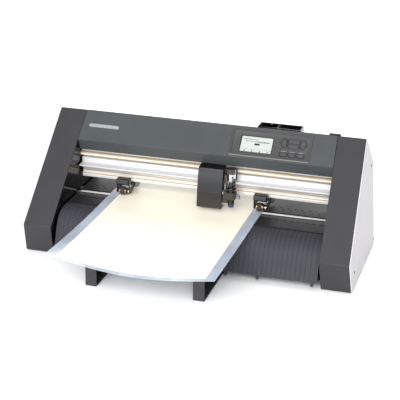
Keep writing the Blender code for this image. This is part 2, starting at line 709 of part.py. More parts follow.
# ---------------------------------------------------------------- tool carriage
def carriage():
    """Carriage plate, cover, tool plate, guide rollers, arm, blade holder and clamp screw."""
    plate = box("carriage_frame", (-1, 90), (164.0, 167.0), (193.5, 224.5))
    tongue = box("tongue", (30, 50), (160.0, 182.2), (208.6, 217.4))
    shelf = box("shelf", (12, 88), (157.6, 165.0), (205.0, 224.5))
    join(plate, tongue, shelf)
    for x in (8.0, 78.0):
        cut(plate, rod("stub_hole", "Y", (x, 165, 198.6), 2.4, 30, 12, cutters))
    finish(plate, (0.10, 0.10, 0.10), 0.4, 0.6)
    for word, x in (("left", 8.0), ("right", 78.0)):
        profile = [(4.5, 0.0), (4.5, 2.0), (4.0, 2.0), (4.0, 8.2), (-3.0, 8.2), (-3.0, 2.0), (-8.3, 2.0),
                   (-8.3, 3.4), (-9.8, 3.4), (-9.8, 0.0)]
        wheel = turned("carriage_roller_" + word, profile, "Y", (x, 172.0, 198.6), 16)
        pivot(wheel, (x, 172.0, 198.6))
        finish(wheel, STEEL, 0.25, 1.0)

    outline = [(128.0, 125.5), (130.5, 165.0), (141.5, 219.0), (144.5, 225.5), (171.0, 229.5),
               (171.0, 192.5), (153.5, 191.5), (153.5, 125.5)]
    hollow = [(130.4, 127.9), (132.8, 165.0), (143.8, 218.6), (146.2, 223.6), (180.0, 228.6),
              (180.0, 192.0), (160.0, 180.0), (160.0, 127.9)]
    cover = prism("carriage_cover", outline, (-5.5, 59.0))
    cut(cover, prism("hollow", hollow, (-3.3, 56.8), cutters))
    slot = box("arm_slot", (50, 70), (138, 160), (127.5, 170), where=cutters)
    cut(cover, slot)
    side_gap = box("side_gap", (50, 70), (156.5, 200), (190, 225.2), where=cutters)
    cut(cover, side_gap)
    finish(cover, (0.07, 0.07, 0.08), 0.3)

    tool_plate = box("tool_plate", (71.5, 89), (155.0, 157.2), (178.5, 226.0))
    cap = box("tool_cap", (69, 87.5), (147.0, 156.0), (213.6, 226.6), 0.8)
    lid = box("cap_lid", (69.5, 87), (150.0, 170.6), (224.9, 226.5))
    join(tool_plate, cap, lid)
    finish(tool_plate, (0.80, 0.80, 0.82), 0.3, 0.8)

    ring_x, ring_y = TOOL_X, TOOL_Y
    arm = box("tool_arm", (52.5, 76), (140.5, 152.8), (139.0, 156.5))
    block = box("clamp", (63.0, 94.0), (129.5, 152.8), (152.0, 170.0), 1.5)
    slide = box("slide", (60.5, 68.3), (149.6, 153.6), (146.0, 211.0))
    join(arm, block, slide)
    cut(arm, rod("holder_bore", "Z", (ring_x, ring_y, 150), 8.3, 80, 20, cutters))
    cut(arm, rod("screw_bore", "X", (96, ring_y, 160), 2.4, 14, 12, cutters))
    finish(arm, (0.045, 0.042, 0.04), 0.45)

    knob = [(198.0, 0.0), (198.0, 5.0), (197.0, 6.0), (185.0, 6.0), (185.0, 12.2), (182.0, 13.0),
            (176.5, 13.0), (175.0, 8.0), (136.5, 8.0), (136.0, 6.6), (131.0, 6.6), (130.0, 5.4),
            (126.5, 5.0), (124.0, 2.0), (124.0, 0.0)]
    holder = turned("blade_holder", knob, "Z", (ring_x, ring_y, 0.0), 20)
    finish(holder, (0.05, 0.05, 0.055), 0.3)

    grip = [(104.5, 0.0), (104.5, 5.4), (103.5, 6.2), (95.5, 6.2), (94.4, 5.4), (94.4, 2.0), (91.0, 2.0),
            (91.0, 0.0)]
    screw = turned("clamp_screw", grip, "X", (0.0, ring_y, 160.0), 16)
    pivot(screw, (94.4, ring_y, 160.0))
    finish(screw, (0.75, 0.75, 0.77), 0.25, 1.0)


carriage()


# ---------------------------------------------------------------- rear and inside
SWITCH = (376.0, 0.0, 84.0)        # rocker axis of the mains switch, seen from the back


def back_face(z):
    """Depth of the end covers' back face at height z."""
    return DEPTH - (DEPTH - BACK_TOP[0]) * z / BACK_TOP[1]


def inlet():
    """Mains inlet and data sockets in one plate, with a rocker switch in its upper half."""
    face = back_face(66.0)
    plate = box("rear_connectors", PORTS_X, (face - 2.4, face + 1.6), PORTS_Z, 0.4)
    for x, z in (((360, 388), (36, 60)), ((366.6, 385.4), (74.6, 93.4))):
        cut(plate, box("socket", x, (face - 9, face + 9), z, where=cutters))
    join(plate, box("socket_box", (358, 390), (face - 22, face - 1.0), (34, 62)))
    cut(plate, box("inlet_hollow", (360, 388), (face - 18, face + 9), (36, 60), where=cutters))
    finish(plate, BLACK, 0.5)
    axis = (SWITCH[0], face - 5.0, SWITCH[2])
    rocker = [(-6.0, -5.0), (5.0, -8.2), (5.6, 0.0), (7.2, 7.6), (-6.0, 5.0)]
    rocker = [(axis[1] + y, axis[2] + z) for y, z in rocker]
    switch = prism("power_switch", rocker, (367.0, 385.0))
    pivot(switch, axis)
    finish(switch, (0.03, 0.03, 0.03), 0.4)


def rear_and_inside():
    """Tool tray, media lever, boards, supply, connectors and feet."""
    seat = GAP * 1.6
    outline = [(252.0, back_height(252.0) + seat), (252.0, 314.5), (290.0, 314.5),
               (290.0, back_height(290.0) + seat)]
    tray = prism("tool_tray", outline, (118.0, 231.5))
    pocket = box("pocket", (121.0, 228.5), (254.4, 287.6), (296.0, 330.0), where=cutters)
    cut(tray, pocket)
    join(tray, box("divider_a", (148.0, 150.0), (254.0, 288.0), (290.0, 314.5)),
         box("divider_b", (168.5, 170.5), (254.0, 288.0), (290.0, 314.5)))
    finish(tray, BLACK, 0.1)

    lever = box("media_set_lever", (300.0, 330.0), (275.0, 283.0), (299.0, 307.0), 1.5)
    stem = prism("stem", [(276.0, 303.0), (282.0, 303.0), (300.0, 272.0), (294.0, 262.0), (288.0, 264.0)],
                 (308.0, 314.0))
    hub = rod("hub", "X", LEVER, 8.0, 12.0, 16)
    join(lever, stem, hub)
    cut(lever, rod("lever_bore", "X", LEVER, 3.0, 40.0, 12, cutters))
    pivot(lever, LEVER)
    finish(lever, BLACK, 0.35)

    board = box("main_board", (-150, 60), (190, 290), (30, 31.6))
    chips = [box("chip", (x, x + 22), (y, y + 22), (31.0, 35.0)) for x, y in ((-120, 215), (-60, 240),
                                                                               (0, 210))]
    join(board, *chips)
    finish(board, (0.02, 0.16, 0.06), 0.6)
    finish(box("power_supply", (120, 260), (190, 285), (24, 62), 1.5), (0.55, 0.56, 0.57), 0.4, 0.9)
    inlet()

    for side, word in ((-1, "left"), (1, "right")):
        x = sorted((side * (BAY_HALF + 12.0), side * (HALF - 12.0)))
        finish(box(word + "_foot_strip", x, (8.0, 316.0), (0.0, FOOT), 0.6), (0.02, 0.02, 0.02), 0.9)


rear_and_inside()
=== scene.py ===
# %% [markdown]
# # Dressing a desktop vinyl cutter
#
# The machine arrives as a frame of plain solids with real joints. This notebook keeps every
# solid where it is and gives it the surface that the real machine has. Flat moulded covers only
# need softer edges and a textured plastic. Rounded, ribbed and turned pieces are worked out
# again as fine surfaces, and those take the place of their plain solids.

# %% Load the frame
import json
import math

import bmesh
import bpy
import numpy as np
from mathutils import Matrix, Vector


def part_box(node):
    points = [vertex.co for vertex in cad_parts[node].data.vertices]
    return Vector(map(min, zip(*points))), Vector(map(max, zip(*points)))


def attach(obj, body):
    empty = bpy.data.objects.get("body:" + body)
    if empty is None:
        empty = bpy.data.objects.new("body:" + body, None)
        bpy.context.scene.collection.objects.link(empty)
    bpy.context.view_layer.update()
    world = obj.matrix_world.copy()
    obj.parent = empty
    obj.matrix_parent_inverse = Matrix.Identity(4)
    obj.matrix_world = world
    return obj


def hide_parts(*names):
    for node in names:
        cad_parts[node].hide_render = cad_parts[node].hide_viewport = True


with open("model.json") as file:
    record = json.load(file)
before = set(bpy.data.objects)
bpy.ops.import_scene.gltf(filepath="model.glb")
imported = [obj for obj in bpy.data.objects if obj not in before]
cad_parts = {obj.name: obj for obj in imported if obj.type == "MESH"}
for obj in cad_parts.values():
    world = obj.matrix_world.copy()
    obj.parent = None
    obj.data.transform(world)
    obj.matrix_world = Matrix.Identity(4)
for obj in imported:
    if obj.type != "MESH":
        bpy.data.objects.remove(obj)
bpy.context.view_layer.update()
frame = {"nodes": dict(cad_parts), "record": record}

# %% [markdown]
# ## Where things are
#
# A maker measures this machine from the lower front edge of its end covers, in millimetres:
# x along the machine from its middle, y to the back, z up from the table. The frame is in
# metres and is centred differently, so one function carries all points over. `BODY` says which
# body a node rides on, so that what stands for the node can ride there too.

# %% Measures shared by many pieces
MM = 0.001
KNEE = (-22.9, 81.7)                # front bend of the end covers, (y, z)
FRONT_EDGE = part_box("left_end_cover")[0][1] - KNEE[0] * MM
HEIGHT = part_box("top_cover")[1][2] / MM
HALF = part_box("right_end_cover")[1][0] / MM
BODY = {node: body for body, nodes in frame["record"]["behaviour"]["bodies"].items()
        for node in nodes}


def placed(points):
    """Maker's millimetres to the frame's metres: scaled, then moved along Y."""
    return np.asarray(points, float) * MM + np.array((0.0, FRONT_EDGE, 0.0))


def reach(node):
    """Lowest and highest corner of a node in the maker's millimetres."""
    lowest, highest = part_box(node)
    shift = np.array((0.0, FRONT_EDGE, 0.0))
    return (np.array(lowest) - shift) / MM, (np.array(highest) - shift) / MM


def added(name, data):
    """A new object that holds this data, linked to the scene."""
    made = bpy.data.objects.new(name, data)
    bpy.context.scene.collection.objects.link(made)
    return made


RIDGE_Y = reach("top_cover")[1][1]
SLOPE = math.atan2(HEIGHT - KNEE[1], RIDGE_Y - KNEE[0])
PLATEN_Z = reach("platen_deck")[1][2]
print("ridge at", round(RIDGE_Y, 1), round(HEIGHT, 1), "slope", round(math.degrees(SLOPE), 1))

# %% [markdown]
# ## Camera
#
# The machine is looked at from the operator's right and from above, through a long lens, so
# that its verticals hardly lean. A quarter turn about X aims a camera at the horizon; what is
# left of it after the elevation is taken off makes it look down.

# %% Camera
CAMERA_AT = (0.8559, -2.8507, 1.3615)
LENS = 117.05                       # focal length in mm
AZIMUTH, ELEVATION, ROLL = (math.radians(angle) for angle in (16.09, 21.61, 0.86))

camera_data = bpy.data.cameras.new("camera")
camera_data.lens = LENS
camera = added("camera", camera_data)
camera.matrix_world = (Matrix.Translation(CAMERA_AT) @ Matrix.Rotation(AZIMUTH, 4, "Z")
                       @ Matrix.Rotation(math.pi / 2 - ELEVATION, 4, "X")
                       @ Matrix.Rotation(ROLL, 4, "Z"))
bpy.context.scene.camera = camera
print("camera looks down by", round(math.degrees(ELEVATION), 1), "degrees")

# %% [markdown]
# ## Floor and light
#
# A dark machine shows its shape best in a bright tent: a white floor, white walls all round, a
# weak panel overhead, one over the background, one low at the back for the rear cover, and the
# brightest one in front and above, which reaches under the beam to the rollers. The panels are
# big, so shadows stay soft and every edge catches a little light. The plain Standard view keeps
# the white floor white.

# %% Floor, world and lamps
TENT = 12.0                         # half the floor's side, in metres
WHITE_LEVEL = 0.96
SKY_STRENGTH = 0.55

bpy.context.scene.view_settings.view_transform = "Standard"

floor_mesh = bpy.data.meshes.new("floor")
floor_mesh.from_pydata([(-TENT, -TENT, 0), (TENT, -TENT, 0), (TENT, TENT, 0), (-TENT, TENT, 0)],
                       [], [(0, 1, 2, 3)])
floor = added("floor", floor_mesh)

floor_paint = bpy.data.materials.new("white_sweep")
floor_paint.use_nodes = True
floor_shader = floor_paint.node_tree.nodes["Principled BSDF"]
floor_shader.inputs["Base Color"].default_value = (WHITE_LEVEL, WHITE_LEVEL, WHITE_LEVEL, 1)
floor_shader.inputs["Roughness"].default_value = 0.9
floor_mesh.materials.append(floor_paint)

world = bpy.data.worlds.new("white_tent")
world.use_nodes = True
world.node_tree.nodes["Background"].inputs["Color"].default_value = (1.0, 1.0, 1.0, 1)
world.node_tree.nodes["Background"].inputs["Strength"].default_value = SKY_STRENGTH
bpy.context.scene.world = world


def panel_lamp(name, at, aim, size, power):
    """A rectangular soft light at one point, turned towards another: metres and watts."""
    data = bpy.data.lights.new(name, "AREA")
    data.shape = "RECTANGLE"
    data.size, data.size_y = size
    data.energy = power
    lamp = added(name, data)
    lamp.location = at
    lamp.rotation_euler = (Vector(aim) - Vector(at)).to_track_quat("-Z", "Y").to_euler()


panel_lamp("overhead", (0.2, -0.4, 2.6), (0, 0, 0), (3.2, 2.4), 9)
panel_lamp("front_panel", (0.3, -4.0, 2.3), (0, 0, 0.12), (3.6, 2.0), 300)
panel_lamp("backdrop", (-0.6, 3.4, 2.4), (-0.6, 3.2, 0), (6.0, 3.6), 110)
panel_lamp("rear_panel", (-0.2, 2.6, 1.0), (0, 0.2, 0.12), (4.0, 1.2), 26)

# %% [markdown]
# ## One recipe for solid finishes
#
# Moulded plastic, powder coat, rubber and metal all need the same three things in different
# amounts: a tone that drifts a little over the piece, a shine that drifts with it, and a grain
# that the light can catch. One function builds them from noise on Object coordinates. The
# noise can be stretched along an axis, which turns specks into brushing lines.

# %% The finish recipe
NOISE_LOW, NOISE_HIGH = 0.3, 0.7     # nearly all noise values lie between these
COAT_ROUGHNESS = 0.06


def tone(code):
    """A web colour as linear red, green, blue: each channel c becomes
    ((c + 0.055) / 1.055) ** 2.4, or c / 12.92 when it is very dark."""
    channels = np.array([int(code[i:i + 2], 16) / 255 for i in (1, 3, 5)])
    return np.where(channels < 0.04045, channels / 12.92, ((channels + 0.055) / 1.055) ** 2.4)


def noise(tree, size, stretch=(1, 1, 1), detail=3.0):
    """Noise with features of about size millimetres on Object coordinates, stretched by axis."""
    nodes, links = tree.nodes, tree.links
    where = nodes.new("ShaderNodeTexCoord")
    mapping = nodes.new("ShaderNodeMapping")
    mapping.inputs["Scale"].default_value = [1 / s for s in stretch]
    pattern = nodes.new("ShaderNodeTexNoise")
    pattern.inputs["Scale"].default_value = 1 / (size * MM)
    pattern.inputs["Detail"].default_value = detail
    links.new(where.outputs["Object"], mapping.inputs["Vector"])
    links.new(mapping.outputs["Vector"], pattern.inputs["Vector"])
    return pattern.outputs["Fac"]


def ramp(tree, value, stops, mode="LINEAR"):
    """A colour ramp over (position, colour) stops, driven by value."""
    node = tree.nodes.new("ShaderNodeValToRGB")
    node.color_ramp.interpolation = mode
    points = node.color_ramp.elements
    while len(points) < len(stops):
        points.new(1.0)
    for point, (at, colour) in zip(points, stops):
        point.position = at
        point.color = (*colour, 1.0)
    tree.links.new(value, node.inputs["Fac"])
    return node.outputs["Color"]


def spread_value(tree, value, low, high):
    """Noise values mapped to low..high."""
    node = tree.nodes.new("ShaderNodeMapRange")
    for socket, level in (("From Min", NOISE_LOW), ("From Max", NOISE_HIGH), ("To Min", low),
                          ("To Max", high)):
        node.inputs[socket].default_value = level
    tree.links.new(value, node.inputs["Value"])
    return node.outputs["Result"]


def grain_bump(tree, shader, size, depth, stretch=(1, 1, 1)):
    """Fine noise as a bump: grains of size and depth millimetres."""
    node = tree.nodes.new("ShaderNodeBump")
    node.inputs["Strength"].default_value = 1.0
    node.inputs["Distance"].default_value = depth * MM
    tree.links.new(noise(tree, size, stretch, 2.0), node.inputs["Height"])
    tree.links.new(node.outputs["Normal"], shader.inputs["Normal"])


def blank_finish(name, metallic):
    """A new node material, its tree and its shader."""
    made = bpy.data.materials.new(name)
    made.use_nodes = True
    shader = made.node_tree.nodes["Principled BSDF"]
    shader.inputs["Metallic"].default_value = metallic
    return made, made.node_tree, shader


def finish(name, code, roughness, metallic=0.0, drift=0.06, patch=60.0, shine=0.05, grain=0.6,
           depth=0.01, stretch=(1, 1, 1), specular=0.5, coat=0.0):
    """Tone drifts by drift over patches, roughness by shine, and grain stands up by depth."""
    made, tree, shader = blank_finish(name, metallic)
    base = tone(code)
    cloud = noise(tree, patch, stretch)
    colours = ramp(tree, cloud, [(NOISE_LOW, base * (1 - drift)),
                                 (NOISE_HIGH, np.minimum(base * (1 + drift), 1))])
    tree.links.new(colours, shader.inputs["Base Color"])
    tree.links.new(spread_value(tree, cloud, roughness - shine, roughness + shine),
                   shader.inputs["Roughness"])
    shader.inputs["Specular IOR Level"].default_value = specular
    shader.inputs["Coat Weight"].default_value = coat
    shader.inputs["Coat Roughness"].default_value = COAT_ROUGHNESS
    grain_bump(tree, shader, grain, depth, stretch)
    return made


def banded(name, bands, roughness, metallic, stretch=(90, 1, 1), size=1.2, streak=0.25):
    """A finish whose colour goes by height: bands are (height in mm, web colour) stops, and
    stretched noise darkens them by streak in fine lines."""
    made, tree, shader = blank_finish(name, metallic)
    where = tree.nodes.new("ShaderNodeTexCoord")
    parts = tree.nodes.new("ShaderNodeSeparateXYZ")
    level = tree.nodes.new("ShaderNodeMapRange")
    bottom, top = bands[0][0], bands[-1][0]
    level.inputs["From Min"].default_value = bottom * MM
    level.inputs["From Max"].default_value = top * MM
    tree.links.new(where.outputs["Object"], parts.inputs["Vector"])
    tree.links.new(parts.outputs["Z"], level.inputs["Value"])
    stops = [((height - bottom) / (top - bottom), tone(code)) for height, code in bands]
    colours = ramp(tree, level.outputs["Result"], stops)
    lines = noise(tree, size, stretch, 4.0)
    blend = tree.nodes.new("ShaderNodeMix")
    blend.data_type = "RGBA"
    blend.blend_type = "MULTIPLY"
    blend.inputs["Factor"].default_value = 1.0
    tree.links.new(colours, blend.inputs["A"])
    shades = ramp(tree, lines, [(0.35, (1 - streak,) * 3), (0.65, (1.0,) * 3)])
    tree.links.new(shades, blend.inputs["B"])
    tree.links.new(blend.outputs["Result"], shader.inputs["Base Color"])
    tree.links.new(spread_value(tree, lines, roughness - 0.04, roughness + 0.04),
                   shader.inputs["Roughness"])
    grain_bump(tree, shader, 0.8, 0.006, stretch)
    return made


# %% [markdown]
# ## The machine's finishes
#
# The covers are moulded plastic with a fine texture, the legs and plates are powder-coated
# steel, and the tray and the bay's inner walls are polished black. Metals have a metallic share
# of one. Each finish names its web colour and its roughness, and then only what differs.

# %% Plain finishes
cover_plastic = finish("cover_plastic", "#313033", 0.55, specular=0.35, grain=0.9, depth=0.03,
                       drift=0.05)
beam_plastic = finish("beam_plastic", "#3f4345", 0.5, specular=0.35, grain=0.9,
                      depth=0.025, drift=0.05)
white_panel = finish("white_panel", "#c1bfc2", 0.45, grain=0.9, depth=0.02, drift=0.02)
panel_plastic = finish("panel_plastic", "#3c3b3c", 0.55, grain=0.8, depth=0.02, drift=0.04)
key_plastic = finish("key_plastic", "#3d3c3e", 0.45, grain=0.7, depth=0.01, drift=0.05)
black_gloss = finish("black_gloss", "#0d0c0d", 0.07, drift=0.2, shine=0.03, depth=0.002, patch=25)
wall_black = finish("wall_black", "#080708", 0.11, specular=0.2, drift=0.25, depth=0.003,
                    patch=35)
arm_black = finish("arm_black", "#0b0a0b", 0.3, specular=0.25, drift=0.15, grain=0.7, depth=0.006)
black_satin = finish("black_satin", "#1c1a1c", 0.36, drift=0.1, grain=0.7, depth=0.012)
dark_steel = finish("dark_steel", "#313032", 0.5, grain=0.7, depth=0.02)
platen_black = finish("platen_black", "#35353c", 0.62, specular=0.2, grain=0.8, depth=0.02)
deck_coat = finish("deck_coat", "#1e1d20", 0.48, specular=0.22, drift=0.05, grain=0.6, depth=0.02)
sheet_steel = finish("sheet_steel", "#8d8983", 0.34, 1.0, drift=0.12, patch=8, depth=0.01,
                     stretch=(12, 1, 1))
bright_steel = finish("bright_steel", "#d4d3d2", 0.24, 1.0, drift=0.08, patch=4, depth=0.006,
                      stretch=(1, 6, 6))
brushed_plate = finish("brushed_plate", "#c9cbd2", 0.3, 1.0, drift=0.06, patch=3, depth=0.008,
                       stretch=(1, 1, 20))
turned_brass = finish("turned_brass", "#a88850", 0.32, 1.0, drift=0.1, patch=4, depth=0.006)
tyre_rubber = finish("tyre_rubber", "#3a3a3f", 0.75, drift=0.12, patch=6, depth=0.03)
soft_rubber = finish("soft_rubber", "#191819", 0.8, drift=0.15, patch=8, depth=0.04)
cut_strip = finish("cut_strip", "#454447", 0.7, drift=0.1, patch=10, depth=0.03, stretch=(6, 1, 1))
belt_tan = banded("belt_tan", [
    (208.5, "#b3a187"), (210.4, "#c3b299"), (211.2, "#e0dbd3"), (213.8, "#e0dbd3"),
    (214.8, "#beac93"), (217.5, "#ae9b82")], 0.55, 0.0)
gear_acetal = finish("gear_acetal", "#d9d7cf", 0.42, drift=0.03, depth=0.01)
board_green = finish("board_green", "#1f5a36", 0.4, drift=0.15, patch=5, depth=0.03)
cap_brown = finish("cap_brown", "#2b2722", 0.35, drift=0.1, depth=0.012)
arm_brown = finish("arm_brown", "#37312a", 0.5, drift=0.1, depth=0.015)
collar_blue = finish("collar_blue", "#28406c", 0.3, drift=0.05, depth=0.004)
label_grey = finish("label_grey", "#8f8f91", 0.5, drift=0.04, depth=0.002)
key_mark = finish("key_mark", "#5d5b5d", 0.5, drift=0.05, depth=0.002)
mark_black = finish("mark_black", "#15161a", 0.5, drift=0.1, depth=0.002)
mark_grey = finish("mark_grey", "#454a48", 0.5, drift=0.1, depth=0.002)
print("finishes:", len(bpy.data.materials))

# %% [markdown]
# ## Mesh helpers
#
# Every new piece is a grid of points: rows along a path, columns round a profile. The quads
# between neighbouring points only depend on the size of the grid, so they are worked out for
# the whole grid at once. A last pass merges double points, such as those at a pole, and makes
# the faces look outwards.

# %% Grids, closing and placing
WELD = 0.002 * MM                   # points closer than this become one


def quads(rows, columns, ring=False):
    """Corner numbers of the quads of a grid; ring joins the last column to the first."""
    across = columns if ring else columns - 1
    i, j = np.meshgrid(np.arange(rows - 1), np.arange(across), indexing="ij")
    k = (j + 1) % columns
    corners = (i * columns + j, i * columns + k, (i + 1) * columns + k, (i + 1) * columns + j)
    return np.stack(corners, -1).reshape(-1, 4).tolist()


def closed_up(mesh):
    """Merge double points and turn the faces outwards."""
    shell = bmesh.new()
    shell.from_mesh(mesh)
    bmesh.ops.remove_doubles(shell, verts=shell.verts, dist=WELD)
    bmesh.ops.recalc_face_normals(shell, faces=shell.faces)
    shell.to_mesh(mesh)
    shell.free()


def skin(name, points, faces):
    """A closed mesh from points in maker's millimetres."""
    mesh = bpy.data.meshes.new(name)
    mesh.from_pydata(placed(points).tolist(), [], faces)
    closed_up(mesh)
    return mesh


def riding(name, mesh, look, body, smooth):
    """The mesh as an object of its own on a body: smooth, but sharp where faces turn by more
    than smooth degrees."""
    mesh.shade_smooth()
    mesh.set_sharp_from_angle(angle=math.radians(smooth))
    mesh.materials.clear()
    mesh.materials.append(look)
    made = added(name, mesh)
    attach(made, body)
    return made


def piece(name, points, faces, look, body="machine", instead=(), slot=None, smooth=30.0):
    """A finished piece from points in maker's millimetres, riding on a body."""
    made = riding(name, skin(name, points, faces), look, body, smooth)
    if instead:
        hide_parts(*instead)
    return made


def soften(made, width, segments=2, angle=30.0):
    """Round the sharp edges with a Bevel modifier."""
    edge = made.modifiers.new("soft_edges", "BEVEL")
    edge.width = width * MM
    edge.segments = segments
    edge.limit_method = "ANGLE"
    edge.angle_limit = math.radians(angle)
    edge.harden_normals = False
    return made


def carried(outline, stations):
    """A closed (y, z) outline carried along X: a copy at each station, and a face at both ends."""
    outline = np.asarray(outline, float)
    stations = np.asarray(stations, float)
    points = np.empty((len(stations), len(outline), 3))
    points[:, :, 0] = stations[:, None]
    points[:, :, 1:] = outline[None]
    count = len(outline)
    last = (len(stations) - 1) * count
    ends = [list(range(count)), list(range(last, last + count))]
    return points.reshape(-1, 3), quads(len(stations), count, ring=True) + ends


def arcs(outline, radius, steps=4):
    """The outline with each corner as an arc: points where the arc leaves both sides at radius
    times tan(half the turn), joined by a quadratic curve whose middle point is the corner."""
    corner = np.asarray(outline, float)
    back = np.roll(corner, 1, 0) - corner
    ahead = np.roll(corner, -1, 0) - corner
    long_back = np.linalg.norm(back, axis=1, keepdims=True)
    long_ahead = np.linalg.norm(ahead, axis=1, keepdims=True)
    cut = np.minimum(np.minimum(long_back, long_ahead) * 0.45, radius)
    start, end = corner + back / long_back * cut, corner + ahead / long_ahead * cut
    t = np.linspace(0, 1, steps + 1)[None, :, None]
    curve = ((1 - t) ** 2 * start[:, None] + 2 * t * (1 - t) * corner[:, None]
             + t ** 2 * end[:, None])
    return curve.reshape(-1, 2)


AXES = {"X": ((1, 0, 0), (0, 1, 0), (0, 0, 1)), "Y": ((0, 1, 0), (0, 0, 1), (1, 0, 0)),
        "Z": ((0, 0, 1), (1, 0, 0), (0, 1, 0))}


def turned(profile, axis, centre, steps=40, flutes=0, flute_depth=0.0, fluted=(0.0, 0.0)):
    """(along, radius) points carried round an axis. Flutes lower the radius by a cosine wave
    round the piece, between two places along it."""
    profile = np.asarray(profile, float)
    angle = np.linspace(0, math.tau, steps, endpoint=False)
    radius = np.repeat(profile[:, 1:], steps, 1)
    inside = (profile[:, :1] >= fluted[0]) & (profile[:, :1] <= fluted[1])
    flute = flute_depth * (1 - np.cos(flutes * angle))[None] / 2
    radius = radius - inside * flute * (radius > 1)
    main, side, other = (np.array(direction, float) for direction in AXES[axis])
    points = (np.asarray(centre, float) + profile[:, :1, None] * main
              + (radius * np.cos(angle))[..., None] * side
              + (radius * np.sin(angle))[..., None] * other)
    return points.reshape(-1, 3), quads(len(profile), steps, ring=True)


def ring_of(radius, steps, start=0.0):
    """Points (across, up) evenly round a circle, the first at the angle start."""
    angle = start + np.linspace(0, math.tau, steps, endpoint=False)
    return radius * np.stack((np.cos(angle), np.sin(angle)), 1)


def levelled(outline, levels):
    """A flat outline with a third coordinate: one copy at each level."""
    return np.concatenate([np.hstack((outline, np.full((len(outline), 1), level)))
                           for level in levels])


def slab(count):
    """Faces of two outlines of count corners, one over the other, with walls between them."""
    return [list(range(count)), list(range(count, 2 * count)), *quads(2, count, ring=True)]


def blocks(lows, highs):
    """Many boxes at once: the corners of box k run from lows[k] to highs[k]."""
    lows, highs = np.asarray(lows, float), np.asarray(highs, float)
    pick = np.array([(i & 1, i >> 1 & 1, i >> 2) for i in range(8)])
    points = np.where(pick[None] == 1, highs[:, None], lows[:, None])
    sides = np.array([(0, 2, 3, 1), (4, 5, 7, 6), (0, 1, 5, 4), (2, 6, 7, 3), (0, 4, 6, 2),
                      (1, 3, 7, 5)])
    faces = (sides[None] + 8 * np.arange(len(lows))[:, None, None]).reshape(-1, 4)
    return points.reshape(-1, 3), faces.tolist()


def on_slope(points):
    """Points over the sloped face to maker's millimetres. x runs along the machine, y up the
    slope from the ridge, z out of the face: a turn about X by the slope, then a move to the
    ridge."""
    points = np.asarray(points, float)
    c, s = math.cos(SLOPE), math.sin(SLOPE)
    return np.stack((points[:, 0], RIDGE_Y + c * points[:, 1] - s * points[:, 2],
                     HEIGHT + s * points[:, 1] + c * points[:, 2]), 1)


# %% [markdown]
# ## Moulded and folded pieces with softer edges
#
# Covers, keys, brackets and housings already have their true shape in the frame, but their
# edges are knife-sharp, and a real moulding has a small radius that catches the light. The
# solids are loose triangles, so a copy is merged into one skin, its flat faces are joined, and
# a Bevel modifier rounds what is left. The copy then stands for the solid.

# %% Copies with rounded edges
FLAT_ANGLE = 0.5                    # degrees between faces that are one flat


def merged_copy(node, name, join_flats=True):
    """A copy of a node's mesh with its corners merged and, unless a face has an opening in it,
    its flat faces joined."""
    mesh = frame["nodes"][node].data.copy()
    mesh.name = name
    shell = bmesh.new()
    shell.from_mesh(mesh)
    bmesh.ops.remove_doubles(shell, verts=shell.verts, dist=WELD)
    if join_flats:
        bmesh.ops.dissolve_limit(shell, angle_limit=math.radians(FLAT_ANGLE), verts=shell.verts,
                                 edges=shell.edges)
    shell.to_mesh(mesh)
    shell.free()
    return mesh


WITH_OPENINGS = ["top_cover", "control_panel", "platen_deck", "tool_arm", "rear_connectors"]


def refined(node, width, look, segments=2):
    """A softer copy of a node that stands for it and rides on the same body."""
    name = node + "_finished"
    mesh = merged_copy(node, name, node not in WITH_OPENINGS)
    made = riding(name, mesh, look, BODY[node], 30.0)
    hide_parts(node)
    return soften(made, width, segments)


SOFT_EDGED = {
    ("cover_plastic", 1.2): (cover_plastic, ["left_end_cover", "right_end_cover"]),
    ("beam_plastic", 0.8): (beam_plastic, ["top_cover", "rear_cover"]),
    ("white_panel", 0.7): (white_panel, ["left_side_panel", "right_side_panel"]),
    ("panel_dark", 0.5): (panel_plastic, ["control_panel"]),
    ("key_plastic", 1.1): (key_plastic, ["key_left", "key_up", "key_down", "key_right",
                                         "key_enter", "key_origin", "key_pause"]),
    ("black_gloss", 0.7): (black_gloss, ["tool_tray", "media_set_lever"]),
    ("dark_steel", 0.6): (dark_steel, ["left_front_leg", "right_front_leg", "base_pan"]),
    ("black_satin", 0.7): (arm_black, ["left_pinch_arm", "right_pinch_arm", "power_switch"]),
    ("steel", 0.4): (sheet_steel, ["left_pinch_carrier", "right_pinch_carrier"]),
}
for (slot_name, width), (look, nodes) in SOFT_EDGED.items():
    for node in nodes:
        refined(node, width, look)
print("softened copies:", sum(len(nodes) for _, nodes in SOFT_EDGED.values()))

# %% [markdown]
# ## Pieces that keep their own solid
#
# What is flat, small or inside the housing is already right as it stands, and only needs its
# finish. The finish goes into the node's own material slot.

# %% Finishes on the frame's own nodes
KEPT = {
    wall_black: ["left_side_frame", "right_side_frame"],
    black_satin: ["carriage_motor", "feed_motor", "rear_connectors", "carriage_frame"],
    bright_steel: ["pinch_support_bar", "carriage_roller_left", "carriage_roller_right",
                   "drive_pulley", "idler_pulley", "left_roller_bush", "right_roller_bush"],
    turned_brass: ["motor_pinion"],
    soft_rubber: ["left_foot_strip", "right_foot_strip"],
    cut_strip: ["cutting_mat"],
    gear_acetal: ["roller_gear"],
    board_green: ["main_board"],
    sheet_steel: ["power_supply"],
}
for look, nodes in KEPT.items():
    for node in nodes:
        frame["nodes"][node].material_slots[0].material = look
print("kept solids:", sum(len(nodes) for nodes in KEPT.values()))
